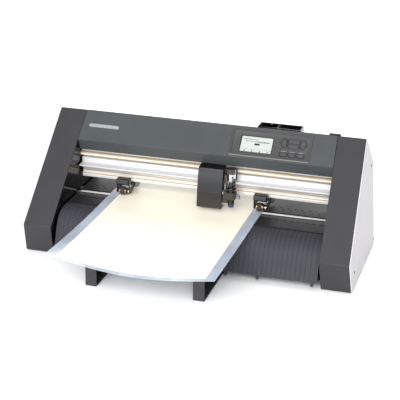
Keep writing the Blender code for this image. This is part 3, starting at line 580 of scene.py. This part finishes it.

# %% [markdown]
# ## Guide rail
#
# The rail is an aluminium extrusion, so it is one outline carried along the machine. Its
# corners are short arcs. Extruded metal is drawn out lengthwise, so its brushing runs along X.
# The finish reads the height: the darker, warmer bands in the grooves are painted shade.

# %% Rail surface and its finish
RAIL_Y = 181.0                      # front of the rail's upright wall
RAIL_HALF = reach("y_bar")[1][0]
RAIL = [(216, 150), (216, 230), (RAIL_Y - 2, 230), (RAIL_Y - 2, 225), (RAIL_Y, 222),
        (RAIL_Y + 9, 221), (RAIL_Y + 9, 205), (RAIL_Y, 204), (RAIL_Y, 190), (RAIL_Y - 23, 190),
        (RAIL_Y - 23, 186), (RAIL_Y, 184), (RAIL_Y, 175), (RAIL_Y + 6, 173), (RAIL_Y + 6, 161),
        (RAIL_Y + 2, 158), (RAIL_Y + 2, 150)]

# The tan bands at the grooves' heights are painted shade, darker and warmer than the pale metal.
rail_metal_painted_groove_shade = banded("rail_metal_painted_groove_shade", [
    (150, "#d2d1d0"), (157, "#e4e3e2"), (159, "#b5a591"), (161, "#ddd7cf"), (166, "#dfd9d2"),
    (168, "#ae9f8c"), (171, "#dbd4cc"), (176, "#d2d2d5"), (204, "#d8d8dc"), (206, "#bcae9a"),
    (221, "#b9a993"), (224, "#dddbd9"), (230, "#e8e8e8")], 0.4, 0.3)

rail = carried(arcs(RAIL, 0.9, 3), np.linspace(-RAIL_HALF, RAIL_HALF, 5))
piece("guide_rail", *rail, rail_metal_painted_groove_shade, instead=["y_bar"], slot="rail_aluminium")
print("rail:", len(rail[1]), "faces")

# %% [markdown]
# ## Toothed belt
#
# The carriage is pulled by a flat belt with teeth on its inner side. Its path is a stadium:
# two straight runs and two half turns round the pulleys. At each step along the path the inner
# edge moves in and out, and that makes the teeth.

# %% Belt surface
belt_low, belt_high = reach("drive_belt")
BELT_Y, BELT_Z = ((belt_low + belt_high) / 2)[1:]
BELT_OUT, BELT_HALF_WIDTH = ((belt_high - belt_low) / 2)[1:]
PULLEY_X = belt_high[0] - BELT_OUT
BELT_IN = BELT_OUT - 1.4
BELT_MIDDLE = (BELT_IN + BELT_OUT) / 2
TOOTH_PITCH, TOOTH_HEIGHT = 3.0, 0.55


def stadium(distance, radius):
    """Point on a stadium at a distance along its middle line. On a straight run x grows with the
    distance; on a half turn the angle grows by distance over the middle radius."""
    run, turn = 2 * PULLEY_X, math.pi * BELT_MIDDLE
    s = distance % (2 * (run + turn))
    half = np.where(s < run + turn, 1.0, -1.0)
    s = np.where(s < run + turn, s, s - run - turn)
    angle = np.clip((s - run) / BELT_MIDDLE, 0, math.pi) - math.pi / 2
    x = half * (np.minimum(s, run) - PULLEY_X + radius * np.cos(angle))
    return x, BELT_Y + half * radius * np.sin(angle)


belt_length = 2 * (2 * PULLEY_X + math.pi * BELT_MIDDLE)
teeth = round(belt_length / TOOTH_PITCH)
belt_steps = np.arange(teeth * 4)
along = belt_steps * belt_length / len(belt_steps)
inside = BELT_IN + np.where(belt_steps % 4 < 2, 0.0, TOOTH_HEIGHT)
belt_points = np.empty((len(belt_steps), 4, 3))
for column, (radius, z) in enumerate(((BELT_OUT, -1), (BELT_OUT, 1), (inside, 1), (inside, -1))):
    belt_points[:, column, :2] = np.stack(stadium(along, radius), 1)
    belt_points[:, column, 2] = BELT_Z + z * BELT_HALF_WIDTH
belt_loop = np.concatenate((belt_points, belt_points[:1]))
piece("toothed_belt", belt_loop.reshape(-1, 3), quads(len(belt_loop), 4, ring=True), belt_tan,
      instead=["drive_belt"], slot="belt_urethane")
print("belt teeth:", teeth)

# %% [markdown]
# ## Grit roller
#
# The roller that moves the sheet is one long steel bar with bands of rolled-in grit. Its
# profile is turned about X, with shallow waists between the bands. The grit is a coarse bump,
# and fine turning lines run round the bar.

# %% Roller surface
roller_low, roller_high = reach("grit_roller")
ROLLER_R = (roller_high[2] - roller_low[2]) / 2
JOURNAL_R = 5.0
COVER_WIDTH, COVER_LEAN = 77.0, 15.0 / HEIGHT
ROLLER_HALF = HALF - COVER_WIDTH - COVER_LEAN * PLATEN_Z - 3.5
BAND = 46.0
WAIST = 0.35

band_edges = np.arange(-ROLLER_HALF + 4, ROLLER_HALF - 4, BAND)
waists = [(x + offset, ROLLER_R - drop) for x in band_edges[1:]
          for offset, drop in ((-2.2, 0), (-2.0, WAIST), (2.0, WAIST), (2.2, 0))]
roller_profile = [(roller_low[0], 0), (roller_low[0], JOURNAL_R), (-ROLLER_HALF, JOURNAL_R),
                  (-ROLLER_HALF, ROLLER_R - 0.6), (-ROLLER_HALF + 0.6, ROLLER_R), *waists,
                  (ROLLER_HALF - 0.6, ROLLER_R), (ROLLER_HALF, ROLLER_R - 0.6),
                  (ROLLER_HALF, JOURNAL_R), (roller_high[0], JOURNAL_R), (roller_high[0], 0)]
grit_steel = finish("grit_steel", "#efe8df", 0.42, 0.4, drift=0.3, patch=3.0, shine=0.08,
                    grain=0.5, depth=0.02, stretch=(30, 1, 1))
roller_centre = (roller_low + roller_high) / 2 * (0, 1, 1)
piece("grit_bar", *turned(roller_profile, "X", roller_centre, 36), grit_steel,
      BODY["grit_roller"], ["grit_roller"], "steel")
print("grit bands:", len(band_edges) + 1)

# %% [markdown]
# ## Ribbed front apron
#
# In front of the platen the sheet slides down over a curved apron with narrow grooves. The
# apron is a sheet of plastic bent along one line, so a point on it is found from its distance
# along the bend and its x. The grooves are a function of x alone: the surface steps in by the
# groove depth wherever x is close to a multiple of the pitch. A black strip in the gap between
# the apron and the deck is painted shade for the deep gap.

# %% Apron surface
APRON_HALF = reach("platen_front")[1][0]
APRON_WALL = 2.4
GROOVE_PITCH, GROOVE_HALF, GROOVE_DEPTH = 11.9, 0.75, 0.9
GROOVE_SLOPE = 0.35                 # width of a groove's side wall
BEND_CENTRE, BEND_R = (60.0, 56.6), 55.0
APRON_TOP = [(81.2, 108.0), (80.8, 111.0), (79.0, 112.2)]
APRON_FOOT = [(4.0, 66.5), (-1.2, 51.5), (-6.4, 37.4), (-10.8, 28.8), (-14.6, 21.6)]

bend_angle = np.radians(np.linspace(90, 156, 15))
bend = BEND_CENTRE + BEND_R * np.stack((np.cos(bend_angle), np.sin(bend_angle)), 1)
apron_line = np.concatenate((APRON_TOP, bend, APRON_FOOT))
tangent = np.gradient(apron_line, axis=0)
tangent /= np.linalg.norm(tangent, axis=1, keepdims=True)
outward = np.stack((tangent[:, 1], -tangent[:, 0]), 1)
outward *= np.sign(outward[:, 1:] + 1e-6)
inner_line = apron_line - outward * APRON_WALL
last_groove = math.floor(APRON_HALF / GROOVE_PITCH)
grooves = np.arange(-last_groove, last_groove + 1)
wall = GROOVE_HALF + GROOVE_SLOPE
edges = np.array((-wall, -GROOVE_HALF, GROOVE_HALF, wall))
apron_x = np.concatenate(([-APRON_HALF], (grooves[:, None] * GROOVE_PITCH + edges).ravel(),
                          [APRON_HALF]))
depth = np.concatenate(([0], np.tile((0, GROOVE_DEPTH, GROOVE_DEPTH, 0), len(grooves)), [0]))
place = np.arange(len(apron_line))
fade = np.clip(place / 2, 0, 1) * np.clip(place[::-1], 0, 1)
front_skin = apron_line[None] - outward[None] * (depth[:, None] * fade[None])[..., None]
back_skin = np.broadcast_to(inner_line[::-1], front_skin.shape)
# carried gives the grid and its faces; y and z are then set for every row.
apron_points, apron_faces = carried(np.zeros((2 * len(apron_line), 2)), apron_x)
apron_points[:, 1:] = np.concatenate((front_skin, back_skin), 1).reshape(-1, 2)
piece("ribbed_apron", apron_points, apron_faces, platen_black, instead=["platen_front"],
      slot="black_satin", smooth=25)
# A black strip filling the gap: painted shade for the deep gap between apron and deck.
GAP_SHADE_STRIP = [(81.7, 104.0), (81.7, 110.8), (83.6, 110.8), (83.6, 104.0)]
piece("apron_gap_shade", *carried(GAP_SHADE_STRIP, (-APRON_HALF, APRON_HALF)), soft_rubber, slot="rubber_black")
print("grooves:", len(grooves))

# %% [markdown]
# ## Apron hooks
#
# Small hooks under the apron's lower edge snap into the base. Each is a bent tongue, so each
# is a little L-shaped outline carried across its width.

# %% Hooks
HOOK = [(-13.5, 22.5), (-9.0, 22.5), (-8.0, 13.0), (-13.4, 11.2), (-14.0, 14.6), (-11.4, 15.6)]
HOOK_X = (-318, -232, -110, 30, 112, 192, 328)
for number, x in enumerate(HOOK_X):
    piece(f"apron_hook_{number}", *carried(arcs(HOOK, 0.5, 2), (x - 3.0, x + 3.0)), platen_black,
          slot="black_satin")
print("hooks:", len(HOOK_X))

# %% [markdown]
# ## Drilled deck and rear platen
#
# Two folded plates carry the sheet on either side of the roller. Rows of small holes let the
# suction and the dust through. The plates are softened copies, and one Boolean per plate takes
# all its holes out at once: the cutter is a single mesh with a short prism for each hole.

# %% Hole rows
HOLE_PITCH, HOLE_R, HOLE_SIDES = 18.7, 2.5, 10


def drill(node, centres):
    """A softer copy of a plate with round holes at (x, y) centres, straight down."""
    plate = refined(node, 0.5, deck_coat, 1)
    points = np.empty((len(centres), 2, HOLE_SIDES, 3))
    points[..., :2] = centres[:, None, None] + ring_of(HOLE_R, HOLE_SIDES)
    points[..., 2] = np.array((PLATEN_Z - 8, PLATEN_Z + 8))[None, :, None]
    starts = range(0, points.size // 3, 2 * HOLE_SIDES)
    faces = [[corner + start for corner in face] for start in starts for face in slab(HOLE_SIDES)]
    cutter = added("cutter", skin("cutter", points.reshape(-1, 3), faces))
    bore = plate.modifiers.new("holes", "BOOLEAN")
    bore.operation = "DIFFERENCE"
    bore.solver = "EXACT"
    bore.object = cutter
    graph = bpy.context.evaluated_depsgraph_get()
    done = bpy.data.meshes.new_from_object(plate.evaluated_get(graph))
    plate.modifiers.clear()
    plate.data = done
    bpy.data.objects.remove(cutter, do_unlink=True)


hole_x = np.arange(-17, 18) * HOLE_PITCH
deck_holes = np.array([(x, 134.0) for x in hole_x])
rear_holes = np.array([(x, 204.0) for x in hole_x]
                      + [(x + HOLE_PITCH / 2, 216.5) for x in hole_x[:-1]])
drill("platen_deck", deck_holes)
drill("platen_rear", rear_holes)
print("holes:", len(deck_holes) + len(rear_holes))

# %% [markdown]
# ## The sheets
#
# A clear carrier film holds a cream sheet. On the platen both lie flat. In front they hang free:
# the middle sags and the corners stay up, and both effects grow with the square of the distance
# from the platen's edge, as in a beam that is held at one end. The same function places both,
# so they never cross. Each has a top and an underside, joined round the edge.

# %% Sheet surfaces
film_low, film_high = reach("carrier_sheet")
vinyl_low, vinyl_high = reach("vinyl_sheet")
FILM_THICK, VINYL_THICK, FILM_GAP = 0.6, 0.4, 0.3
SHEET_EDGE_Y = 84.0                 # front edge of the platen
FILM_FLOOR = PLATEN_Z + 0.6
SAG, LEFT_LIFT, RIGHT_LIFT = 23.0, 14.0, 4.0


def sheet_height(x, y):
    """Platen height, plus (the corner lift, blended from left to right, less the sag as half a
    sine wave across) times the square of the share of the free length."""
    share = np.clip((SHEET_EDGE_Y - y) / (SHEET_EDGE_Y - film_low[1]), 0, None)
    across = (x - film_low[0]) / (film_high[0] - film_low[0])
    lift = LEFT_LIFT * (1 - across) + RIGHT_LIFT * across - SAG * np.sin(math.pi * across)
    return FILM_FLOOR + lift * share ** 2


def laid_sheet(low_corner, high_corner, lift, thick, step=8.0):
    """Grid points of the underside and the top, joined into one closed skin."""
    columns = int((high_corner[0] - low_corner[0]) / step) + 1
    rows = int((high_corner[1] - low_corner[1]) / step) + 1
    x, y = np.meshgrid(np.linspace(low_corner[0], high_corner[0], columns),
                       np.linspace(low_corner[1], high_corner[1], rows))
    z = sheet_height(x, y) + lift
    top = np.stack((x, y, z + thick), -1)
    under = np.stack((x, y, z), -1)
    faces = np.array(quads(rows, columns))
    count = rows * columns
    number = np.arange(count).reshape(rows, columns)
    rim = np.concatenate((number[0], number[1:, -1], number[-1, -2::-1], number[-2:0:-1, 0]))
    after = np.roll(rim, -1)
    walls = np.stack((rim, after, after + count, rim + count), 1)
    skin = np.concatenate((faces, faces[:, ::-1] + count, walls))
    return np.concatenate((top.reshape(-1, 3), under.reshape(-1, 3))), skin.tolist()


FILM_ALPHA = 0.48
film_clear = finish("film_clear", "#c6cede", 0.16, drift=0.16, patch=45, grain=4.0, depth=0.02,
                    stretch=(1, 3, 1))
film_clear.node_tree.nodes["Principled BSDF"].inputs["Alpha"].default_value = FILM_ALPHA
vinyl_cream = finish("vinyl_cream", "#f3eddc", 0.42, drift=0.008, patch=120, shine=0.04,
                     grain=1.6, depth=0.006)

film = piece("carrier_film", *laid_sheet(film_low, film_high, 0.0, FILM_THICK), film_clear,
             BODY["carrier_sheet"], ["carrier_sheet"], "carrier_film", 60)
vinyl = piece("cream_vinyl", *laid_sheet(vinyl_low, vinyl_high, FILM_THICK + FILM_GAP, VINYL_THICK),
              vinyl_cream, BODY["vinyl_sheet"], ["vinyl_sheet"], "cream_vinyl", 60)
print("film", np.round(film_high - film_low, 1)[:2],
      "vinyl", np.round(vinyl_high - vinyl_low, 1)[:2])

# %% [markdown]
# ## Tool carriage
#
# The carriage has a satin cover with a leaning front, a bright slide plate with a dark cap, and
# an arm that clamps the blade holder. The plastic itself is one dark tone with a soft coat. The
# warmer colour towards the cover's lower edge is a painted reflection of the cream sheet below,
# and the colour turns nearly black towards the top. The cover is thin-walled and open behind,
# so it is a softened copy.
#
# Names such as PLATE_FRONT are places in the maker's millimetres.

# %% Carriage cover, slide plate and cap
# Bands by height: the warm low bands are a painted reflection of the cream sheet, and the top bands
# are nearly black.
carriage_black_painted_reflection = banded("carriage_black_painted_reflection", [
    (125, "#2f2a25"), (150, "#282522"), (185, "#1f2024"), (214, "#25272a"), (219, "#101011"),
    (229, "#080808")], 0.38, 0.0, (1, 1, 1), 14.0, 0.04)
carriage_shader = carriage_black_painted_reflection.node_tree.nodes["Principled BSDF"]
carriage_shader.inputs["Specular IOR Level"].default_value = 0.3
refined("carriage_cover", 1.0, carriage_black_painted_reflection, 3)
refined("tool_arm", 0.8, arm_brown, 2)

plate_low, plate_high = reach("tool_plate")
cap_front, cap_back = plate_low[1], plate_high[1]
PLATE_FRONT, PLATE_BACK, PLATE_LEFT, PLATE_TOP = 155.0, 157.2, 71.5, 226.0
CAP_BOTTOM, CAP_WIDTH = 213.6, 18.5
plate_outline = [(PLATE_FRONT, plate_low[2]), (PLATE_FRONT, PLATE_TOP), (PLATE_BACK, PLATE_TOP),
                 (PLATE_BACK, plate_low[2])]
slide = piece("slide_plate", *carried(plate_outline, (PLATE_LEFT, plate_high[0])), brushed_plate,
              BODY["tool_plate"], ["tool_plate"], "plate_aluminium")
soften(slide, 0.5, 3)
cap_outline = [(cap_front, CAP_BOTTOM), (cap_front + 0.8, plate_high[2] - 0.8),
               (cap_front + 2.0, plate_high[2]), (cap_back, plate_high[2]),
               (cap_back, PLATE_TOP + 0.1), (PLATE_FRONT - 0.1, PLATE_TOP + 0.1),
               (PLATE_FRONT - 0.1, CAP_BOTTOM)]
cap = piece("slide_cap", *carried(cap_outline, (plate_low[0], plate_low[0] + CAP_WIDTH)),
            cap_brown, BODY["tool_plate"], slot="black_satin")
soften(cap, 0.5, 2)


def screw_head(name, at, axis, radius, look, body, height=1.4, side=-1.0):
    """A pan head with a domed rim and a round socket, turned about its axis; side is the way
    it faces."""
    profile = [(0.0, 0.0), (0.0, radius), (height * 0.6, radius), (height, radius * 0.8),
               (height, radius * 0.42), (height * 0.35, radius * 0.38), (height * 0.3, 0.0)]
    facing = [(side * a, r) for a, r in profile]
    piece(name, *turned(facing, axis, at, 24), look, body, slot="steel")


screw_head("slide_screw", (81.0, PLATE_FRONT - 0.05, 204.0), "Y", 2.2, black_satin,
           BODY["tool_plate"])
screw_head("slide_screw_low", (85.0, PLATE_FRONT - 0.05, 186.0), "Y", 2.0, bright_steel,
           BODY["tool_plate"])

# %% [markdown]
# ## Blade holder and clamp screw
#
# The blade holder is turned from top to bottom: a fluted knob, a glossy flange that rests on
# the arm, a dark body, a blue collar that tells the blade type, and a small steel nose with the
# blade in it. A change of colour is a change of piece, as on the real holder. The arm has a
# smooth face plate and a guide pin beside the holder, and its screw has a knurled grip.

# %% Turned tool pieces
holder_low, holder_high = reach("blade_holder")
KNOB_R, FLANGE_R, HOLDER_R, EDGE_R = 6.0, 13.0, 8.0, 3.2
KNOB_FOOT = 187.0
knob_top = holder_high[2]
tool_centre = (holder_low + holder_high) / 2 * (1, 1, 0)
knob_grey = finish("knob_grey", "#24221f", 0.22, drift=0.1, patch=6, depth=0.01)



def holder_part(name, profile, look, steps, instead=(), slot=None, flutes=(0, 0.0, (0.0, 0.0))):
    """A ring of the blade holder from (height, radius) points."""
    piece(name, *turned(profile, "Z", tool_centre, steps, *flutes), look, BODY["blade_holder"],
          instead, slot)


knob = [(knob_top, 0), (knob_top, KNOB_R - 1.2), (knob_top - 0.5, KNOB_R - 0.5),
        (knob_top - 1.5, KNOB_R), (KNOB_FOOT, KNOB_R), (KNOB_FOOT - 0.8, KNOB_R - 0.6),
        (KNOB_FOOT - 2.0, KNOB_R - 0.6), (KNOB_FOOT - 2.0, 0)]
holder_part("holder_knob", knob, knob_grey, 72, slot="black_satin",
            flutes=(12, 0.8, (KNOB_FOOT, knob_top - 1.5)))

flange_arc = np.radians(np.linspace(90, -90, 9))
flange = [(184.9, 0), (184.9, 8.4), (183.9, 9.2),
          *zip(180.4 + EDGE_R * np.sin(flange_arc),
               FLANGE_R - EDGE_R + EDGE_R * np.cos(flange_arc)),
          (176.6, 9.2), (176.0, 8.0), (176.0, 0)]
holder_part("holder_flange", flange, black_gloss, 64, ["blade_holder"], "black_gloss")

sleeve_gloss = finish("sleeve_gloss", "#1d1a18", 0.2, drift=0.1, patch=8, depth=0.004)
sleeve = [(175.9, 0), (175.9, HOLDER_R), (170.2, HOLDER_R), (169.8, 7.6), (169.2, 7.6),
          (168.8, HOLDER_R), (138.2, HOLDER_R), (137.4, 7.4), (136.2, 7.4), (136.2, 0)]
holder_part("holder_sleeve", sleeve, sleeve_gloss, 56, slot="black_satin")

collar = [(136.0, 0), (136.0, 6.9), (135.4, 7.3), (131.2, 7.3), (130.2, 6.5), (130.2, 0)]
holder_part("holder_collar", collar, collar_blue, 56)

nose = [(130.1, 0), (130.1, 5.2), (127.6, 5.0), (125.2, 3.0), (124.6, 0.5), (holder_low[2], 0.3),
        (holder_low[2], 0)]
holder_part("holder_nose", nose, bright_steel, 40, slot="steel")

grip_low, grip_high = reach("clamp_screw")
grip_centre = (grip_low + grip_high) / 2 * (0, 1, 1)
grip_start, grip_end = grip_low[0], grip_high[0]
grip = [(grip_end, 0), (grip_end - 0.4, 3.6), (grip_end, 4.2), (grip_end, 5.4),
        (grip_end - 0.8, 6.2), (grip_start + 4.6, 6.2), (grip_start + 3.5, 5.3),
        (grip_start + 3.5, 2.0), (grip_start, 2.0), (grip_start, 0)]
grip_steel = finish("grip_steel", "#8f9092", 0.35, 0.9, drift=0.08, patch=4, depth=0.006)
knurled = turned(grip, "X", grip_centre, 96, 24, 0.5, (grip_start + 4.6, grip_end - 0.8))
piece("clamp_grip", *knurled, grip_steel, BODY["clamp_screw"], ["clamp_screw"], "steel")

FACE_OUTLINE = [(152.6, 129.3), (152.6, 129.0), (169.0, 129.0), (169.4, 129.3)]
face_points, face_faces = carried(FACE_OUTLINE, (64.0, 93.2))
piece("clamp_face", face_points[:, (0, 2, 1)], face_faces, knob_grey, BODY["tool_arm"],
      slot="black_satin")
PIN_PROFILE = [(170.2, 0), (170.2, 2.0), (188.0, 2.0), (189.0, 1.0), (189.0, 0)]
piece("guide_pin", *turned(PIN_PROFILE, "Z", (64.0, 146.8, 0.0), 24), bright_steel,
      BODY["tool_arm"], slot="steel")

# %% [markdown]
# ## Pinch rollers
#
# Two units press the sheet on the roller. Each has a rubber tyre between two brass hubs, then
# a dark spacer and a steel nut, all on one axle. A plain cylinder would look like a bead, so
# the tyre has rounded shoulders and fine grooves, and the rest are separate turned rings.

# %% Wheels, hubs and front bands
RIDGES, BORE_R = 26, 2.2

for word in ("left", "right"):
    node = word + "_pinch_wheels"
    wheel_low, wheel_high = reach(node)
    axle = (wheel_low + wheel_high) / 2
    wheel_r = (wheel_high[2] - wheel_low[2]) / 2
    axle_half = (wheel_high[0] - wheel_low[0]) / 2
    shaft = [(-axle_half, 0), (-axle_half, 1.6), (-axle_half + 0.4, 2.0), (axle_half - 0.4, 2.0),
             (axle_half, 1.6), (axle_half, 0)]
    piece(word + "_axle", *turned(shaft, "X", axle, 24), dark_steel, BODY[node], [node], "steel")
    ridges = np.linspace(-7.0, 2.4, RIDGES)
    tread = [(r, wheel_r - 0.35 * (i % 2)) for i, r in enumerate(ridges)]
    # Each ring of the row: its outer profile, its finish and its slot. The bore closes it.
    turned_parts = {
        "tyre": ([(-8.1, wheel_r - 1.2), (-7.8, wheel_r - 0.4), (-7.2, wheel_r), *tread,
                  (2.6, wheel_r), (3.2, wheel_r - 0.4), (3.5, wheel_r - 1.2)],
                 tyre_rubber, "rubber_black"),
        "outer_hub": ([(-11.2, 8.6), (-10.7, 9.4), (-8.7, 9.4), (-8.2, 8.8)], turned_brass, "brass"),
        "inner_hub": ([(3.6, 8.8), (4.1, 9.4), (6.2, 9.4), (6.8, 8.6)], turned_brass, "brass"),
        "spacer": ([(6.9, 7.2), (7.4, 7.6), (10.4, 7.6), (10.9, 7.2)], black_satin, "black_satin"),
        "nut": ([(11.0, 5.0), (11.5, 5.4), (14.2, 5.4), (15.0, 4.4)], bright_steel, "steel")}
    for part, (profile, look, slot_name) in turned_parts.items():
        bored = [(profile[0][0], BORE_R), *profile, (profile[-1][0], BORE_R)]
        piece(f"{word}_{part}", *turned(bored, "X", axle, 48), look, BODY[node], slot=slot_name)

    arm = word + "_pinch_arm"
    arm_low, arm_high = reach(arm)
    arm_front = arm_low[1]
    band = arcs([(arm_front - 1.3, 150.0), (arm_front - 1.3, 160.2), (arm_front - 0.1, 161.2),
                 (arm_front - 0.1, 149.0)], 0.5, 2)
    piece(word + "_front_band", *carried(band, (axle[0] - 15.5, axle[0] + 15.5)), dark_steel,
          BODY[arm], slot="dark_steel")
    screw_head(word + "_arm_screw", (arm_high[0] + 0.05, 168.5, 143.0), "X", 3.2, bright_steel,
               BODY[arm], 1.6, 1.0)
print("wheel pieces on each axle:", len(turned_parts))

# %% [markdown]
# ## Display
#
# The display is a pale liquid-crystal screen under glass. Its text is only hinted at with small
# dark marks: rows of short bars, one dark block and four ticks over the soft keys. Each group
# of marks is one mesh of thin blocks, and all their corners are worked out together.

# %% Screen and its marks
LCD_X, LCD_UP = (92.3, 172.6), (-68.5, -25.4)
LCD_TOP = -4.4
PRINT_THICK, PRINT_GAP = 0.12, 0.02
SOFT_KEY_PITCH = 20.0
screen_pale = finish("screen_pale", "#aeb4af", 0.25, drift=0.02, patch=20, depth=0.001, coat=0.6)
refined("lcd_display", 0.4, screen_pale)


def printed(name, spots, look, base):
    """Thin blocks just over the sloped face at base: spots are (x, up, width, height)."""
    spots = np.asarray(spots, float)
    lows = levelled(spots[:, :2], (base + PRINT_GAP,))
    points, faces = blocks(lows, lows + levelled(spots[:, 2:], (PRINT_THICK,)))
    piece(name, on_slope(points), faces, look)


draw = np.random.default_rng(7)
text_rows = []
for up, start, count in ((-34.0, 98.0, 14), (-39.5, 104.0, 22), (-41.0, 136.0, 11)):
    widths = draw.uniform(1.0, 2.6, count)
    x = start + np.concatenate(([0.0], np.cumsum(widths + 0.9)[:-1]))
    text_rows += [(a, up, w, h) for a, w, h in zip(x, widths, draw.uniform(1.2, 2.4, count))]
printed("screen_text", text_rows, mark_grey, LCD_TOP)
soft_keys = [LCD_X[0] + SOFT_KEY_PITCH * k for k in range(4)]
ticks = [(x + 10.5, LCD_UP[0] + 1.0, 2.4, 3.6) for x in soft_keys]
rules = [(x + 3, LCD_UP[0] + 7.5, 17.0, 0.5) for x in soft_keys]
printed("screen_block", [(127.0, -48.5, 13.5, 5.0), *ticks], mark_black, LCD_TOP)
printed("screen_rules", rules, mark_grey, LCD_TOP)
print("text marks:", len(text_rows))

# %% [markdown]
# ## Key labels and key rims
#
# Over each small key stands a short pale label, drawn as plain bars, and each arrow key has a
# small arrowhead. An arrowhead is three points with a thickness, turned to its key's direction.
# Round every key and round the screen, a flat dark ring is painted shade in the gap of its
# opening. A ledge closes the panel at its foot, and its light grey is a painted highlight.

# %% Labels, arrowheads and rims
FACE = -3.4                         # floor of the sunk panel
SMALL_KEYS = {"key_enter": 204.5, "key_origin": 226.3, "key_pause": 248.8}
labels = [(centre - 6.4 + 2.7 * k, -58.3, 1.9, 1.5)
          for centre in SMALL_KEYS.values() for k in range(5)]
printed("key_labels", labels, label_grey, FACE)

ARROWS = {"key_left": (202.5, -34.8, 180), "key_up": (226.5, -28.4, 90),
          "key_down": (226.5, -42.2, 270), "key_right": (251.0, -34.8, 0)}
KEY_FACE, ARROW_R = -1.78, 1.7

for node, (x, up, turn) in ARROWS.items():
    corners = ring_of(ARROW_R, 3, math.radians(turn)) + (x, up)
    prism = on_slope(levelled(corners, (KEY_FACE, KEY_FACE + PRINT_THICK)))
    piece(node + "_arrow", prism, slab(3), key_mark, BODY[node])


def rim(name, outline, gap, width):
    """A flat ring round a convex (x, up) outline: each corner moves away from the middle by the
    gap and then by the gap and the width, as corner + distance * direction."""
    bottom, top = FACE + PRINT_GAP, FACE + RIM_THICK
    corner = np.asarray(outline, float)
    away = corner - corner.mean(0)
    away /= np.linalg.norm(away, axis=1, keepdims=True)
    inner, outer = corner + away * gap, corner + away * (gap + width)
    loops = [levelled(outer, (bottom, top)), levelled(inner, (top, bottom)),
             levelled(outer, (bottom,))]
    piece(name, on_slope(np.concatenate(loops)), quads(5, len(corner), ring=True), painted_shade_ring)


def key_outline(node):
    """Corners of a key seen from straight above the slope, in order round its middle."""
    corners = np.array([tuple(v.co) for v in frame["nodes"][node].data.vertices])
    corners = (corners - np.array((0.0, FRONT_EDGE, 0.0))) / MM
    back, high = corners[:, 1] - RIDGE_Y, corners[:, 2] - HEIGHT
    flat = np.stack((corners[:, 0], math.cos(SLOPE) * back + math.sin(SLOPE) * high), 1)
    flat = np.unique(np.round(flat, 1), axis=0)
    away = flat - (flat.min(0) + flat.max(0)) / 2
    turn = np.arctan2(away[:, 1], away[:, 0])
    return flat[np.argsort(turn)]


RIM_THICK = 0.3
# The dark rings are painted shade: the gaps round the keys and the shadow of the screen's window
# edge.
painted_shade_ring = finish("painted_shade_ring", "#121113", 0.5, drift=0.08, depth=0.004)
for node in (*ARROWS, *SMALL_KEYS):
    rim(node + "_painted_shade_rim", key_outline(node), 0.2, 1.8)
screen_corners = [(LCD_X[0], LCD_UP[0]), (LCD_X[1], LCD_UP[0]), (LCD_X[1], LCD_UP[1]),
                  (LCD_X[0], LCD_UP[1])]
rim("display_painted_shade_bezel", screen_corners, 0.4, 2.6)

LEDGE = [(-84.2, -3.3), (-84.2, 0.3), (-83.4, 1.1), (-82.0, 0.9), (-80.8, -3.3)]
# The lip is a real ledge; its light grey, far paler than the panel, is a painted highlight.
ledge_painted_highlight = finish("ledge_painted_highlight", "#757270", 0.4, drift=0.06, depth=0.01)
ledge_points, ledge_faces = carried(LEDGE, (67.0, 272.6))
piece("panel_ledge", on_slope(ledge_points), ledge_faces, ledge_painted_highlight)
print("labels:", len(labels), "rims:", len(ARROWS) + len(SMALL_KEYS) + 1)

# %% [markdown]
# ## Plain badge
#
# A small bright plate sits where a maker would put a name. It is a rounded bar with nothing on
# it: the half circles at its ends are one stadium outline, lifted off the cover.

# %% Badge
BADGE_X, BADGE_UP, BADGE_HALF = (-316.0, -234.0), -44.0, 4.6
end_angle = np.radians(np.linspace(-90, 90, 9))
round_end = BADGE_HALF * np.stack((np.cos(end_angle), np.sin(end_angle)), 1)
badge_ring = np.concatenate((round_end + (BADGE_X[1] - BADGE_HALF, BADGE_UP),
                             round_end[::-1] * (-1, 1) + (BADGE_X[0] + BADGE_HALF, BADGE_UP)))
badge = piece("plain_badge", on_slope(levelled(badge_ring, (0.05, 0.9))), slab(len(badge_ring)),
              brushed_plate, slot="plate_aluminium")
soften(badge, 0.25, 2)
print("badge:", len(badge_ring), "points round")

# %% [markdown]
# ## Panel screws
#
# The white side panels are held by black screws near their edges. The panels lean in towards
# the top, so each head is turned about X at the panel's own place for its height.

# %% Side panel screws
PANEL_LEAN = 18.5 / HEIGHT
SCREW_SPOTS = ((281.0, 231.0), (313.0, 18.0), (34.0, 42.0))     # (y, z)
SCREW_R, SCREW_HEIGHT = 4.4, 0.6
panel_low, panel_high = reach("right_side_panel")
for side, word in ((-1, "left"), (1, "right")):
    for number, (y, z) in enumerate(SCREW_SPOTS):
        x = side * (panel_high[0] - PANEL_LEAN * (z - panel_low[2]) + 0.05)
        screw_head(f"{word}_panel_screw_{number}", (x, y, z), "X", SCREW_R, soft_rubber, "machine",
                   SCREW_HEIGHT, side)
print("screws on each panel:", len(SCREW_SPOTS))

# %% [markdown]
# ## Inlet at the back
#
# The inlet for the mains lead has three flat steel blades. They are small blocks that share one
# mesh, since they are all pressed into one socket.

# %% Inlet blades
BLADE_SPOTS = ((367.0, 45.0), (373.0, 51.0), (379.0, 45.0))     # left lower corners, (x, z)
inlet_back = reach("rear_connectors")[1][1]
blades = blocks([(x, inlet_back - 14.0, z) for x, z in BLADE_SPOTS],
                [(x + 2.0, inlet_back - 4.0, z + 5.0) for x, z in BLADE_SPOTS])
piece("inlet_blades", *blades, bright_steel, slot="steel")
print("inlet blades:", len(BLADE_SPOTS))
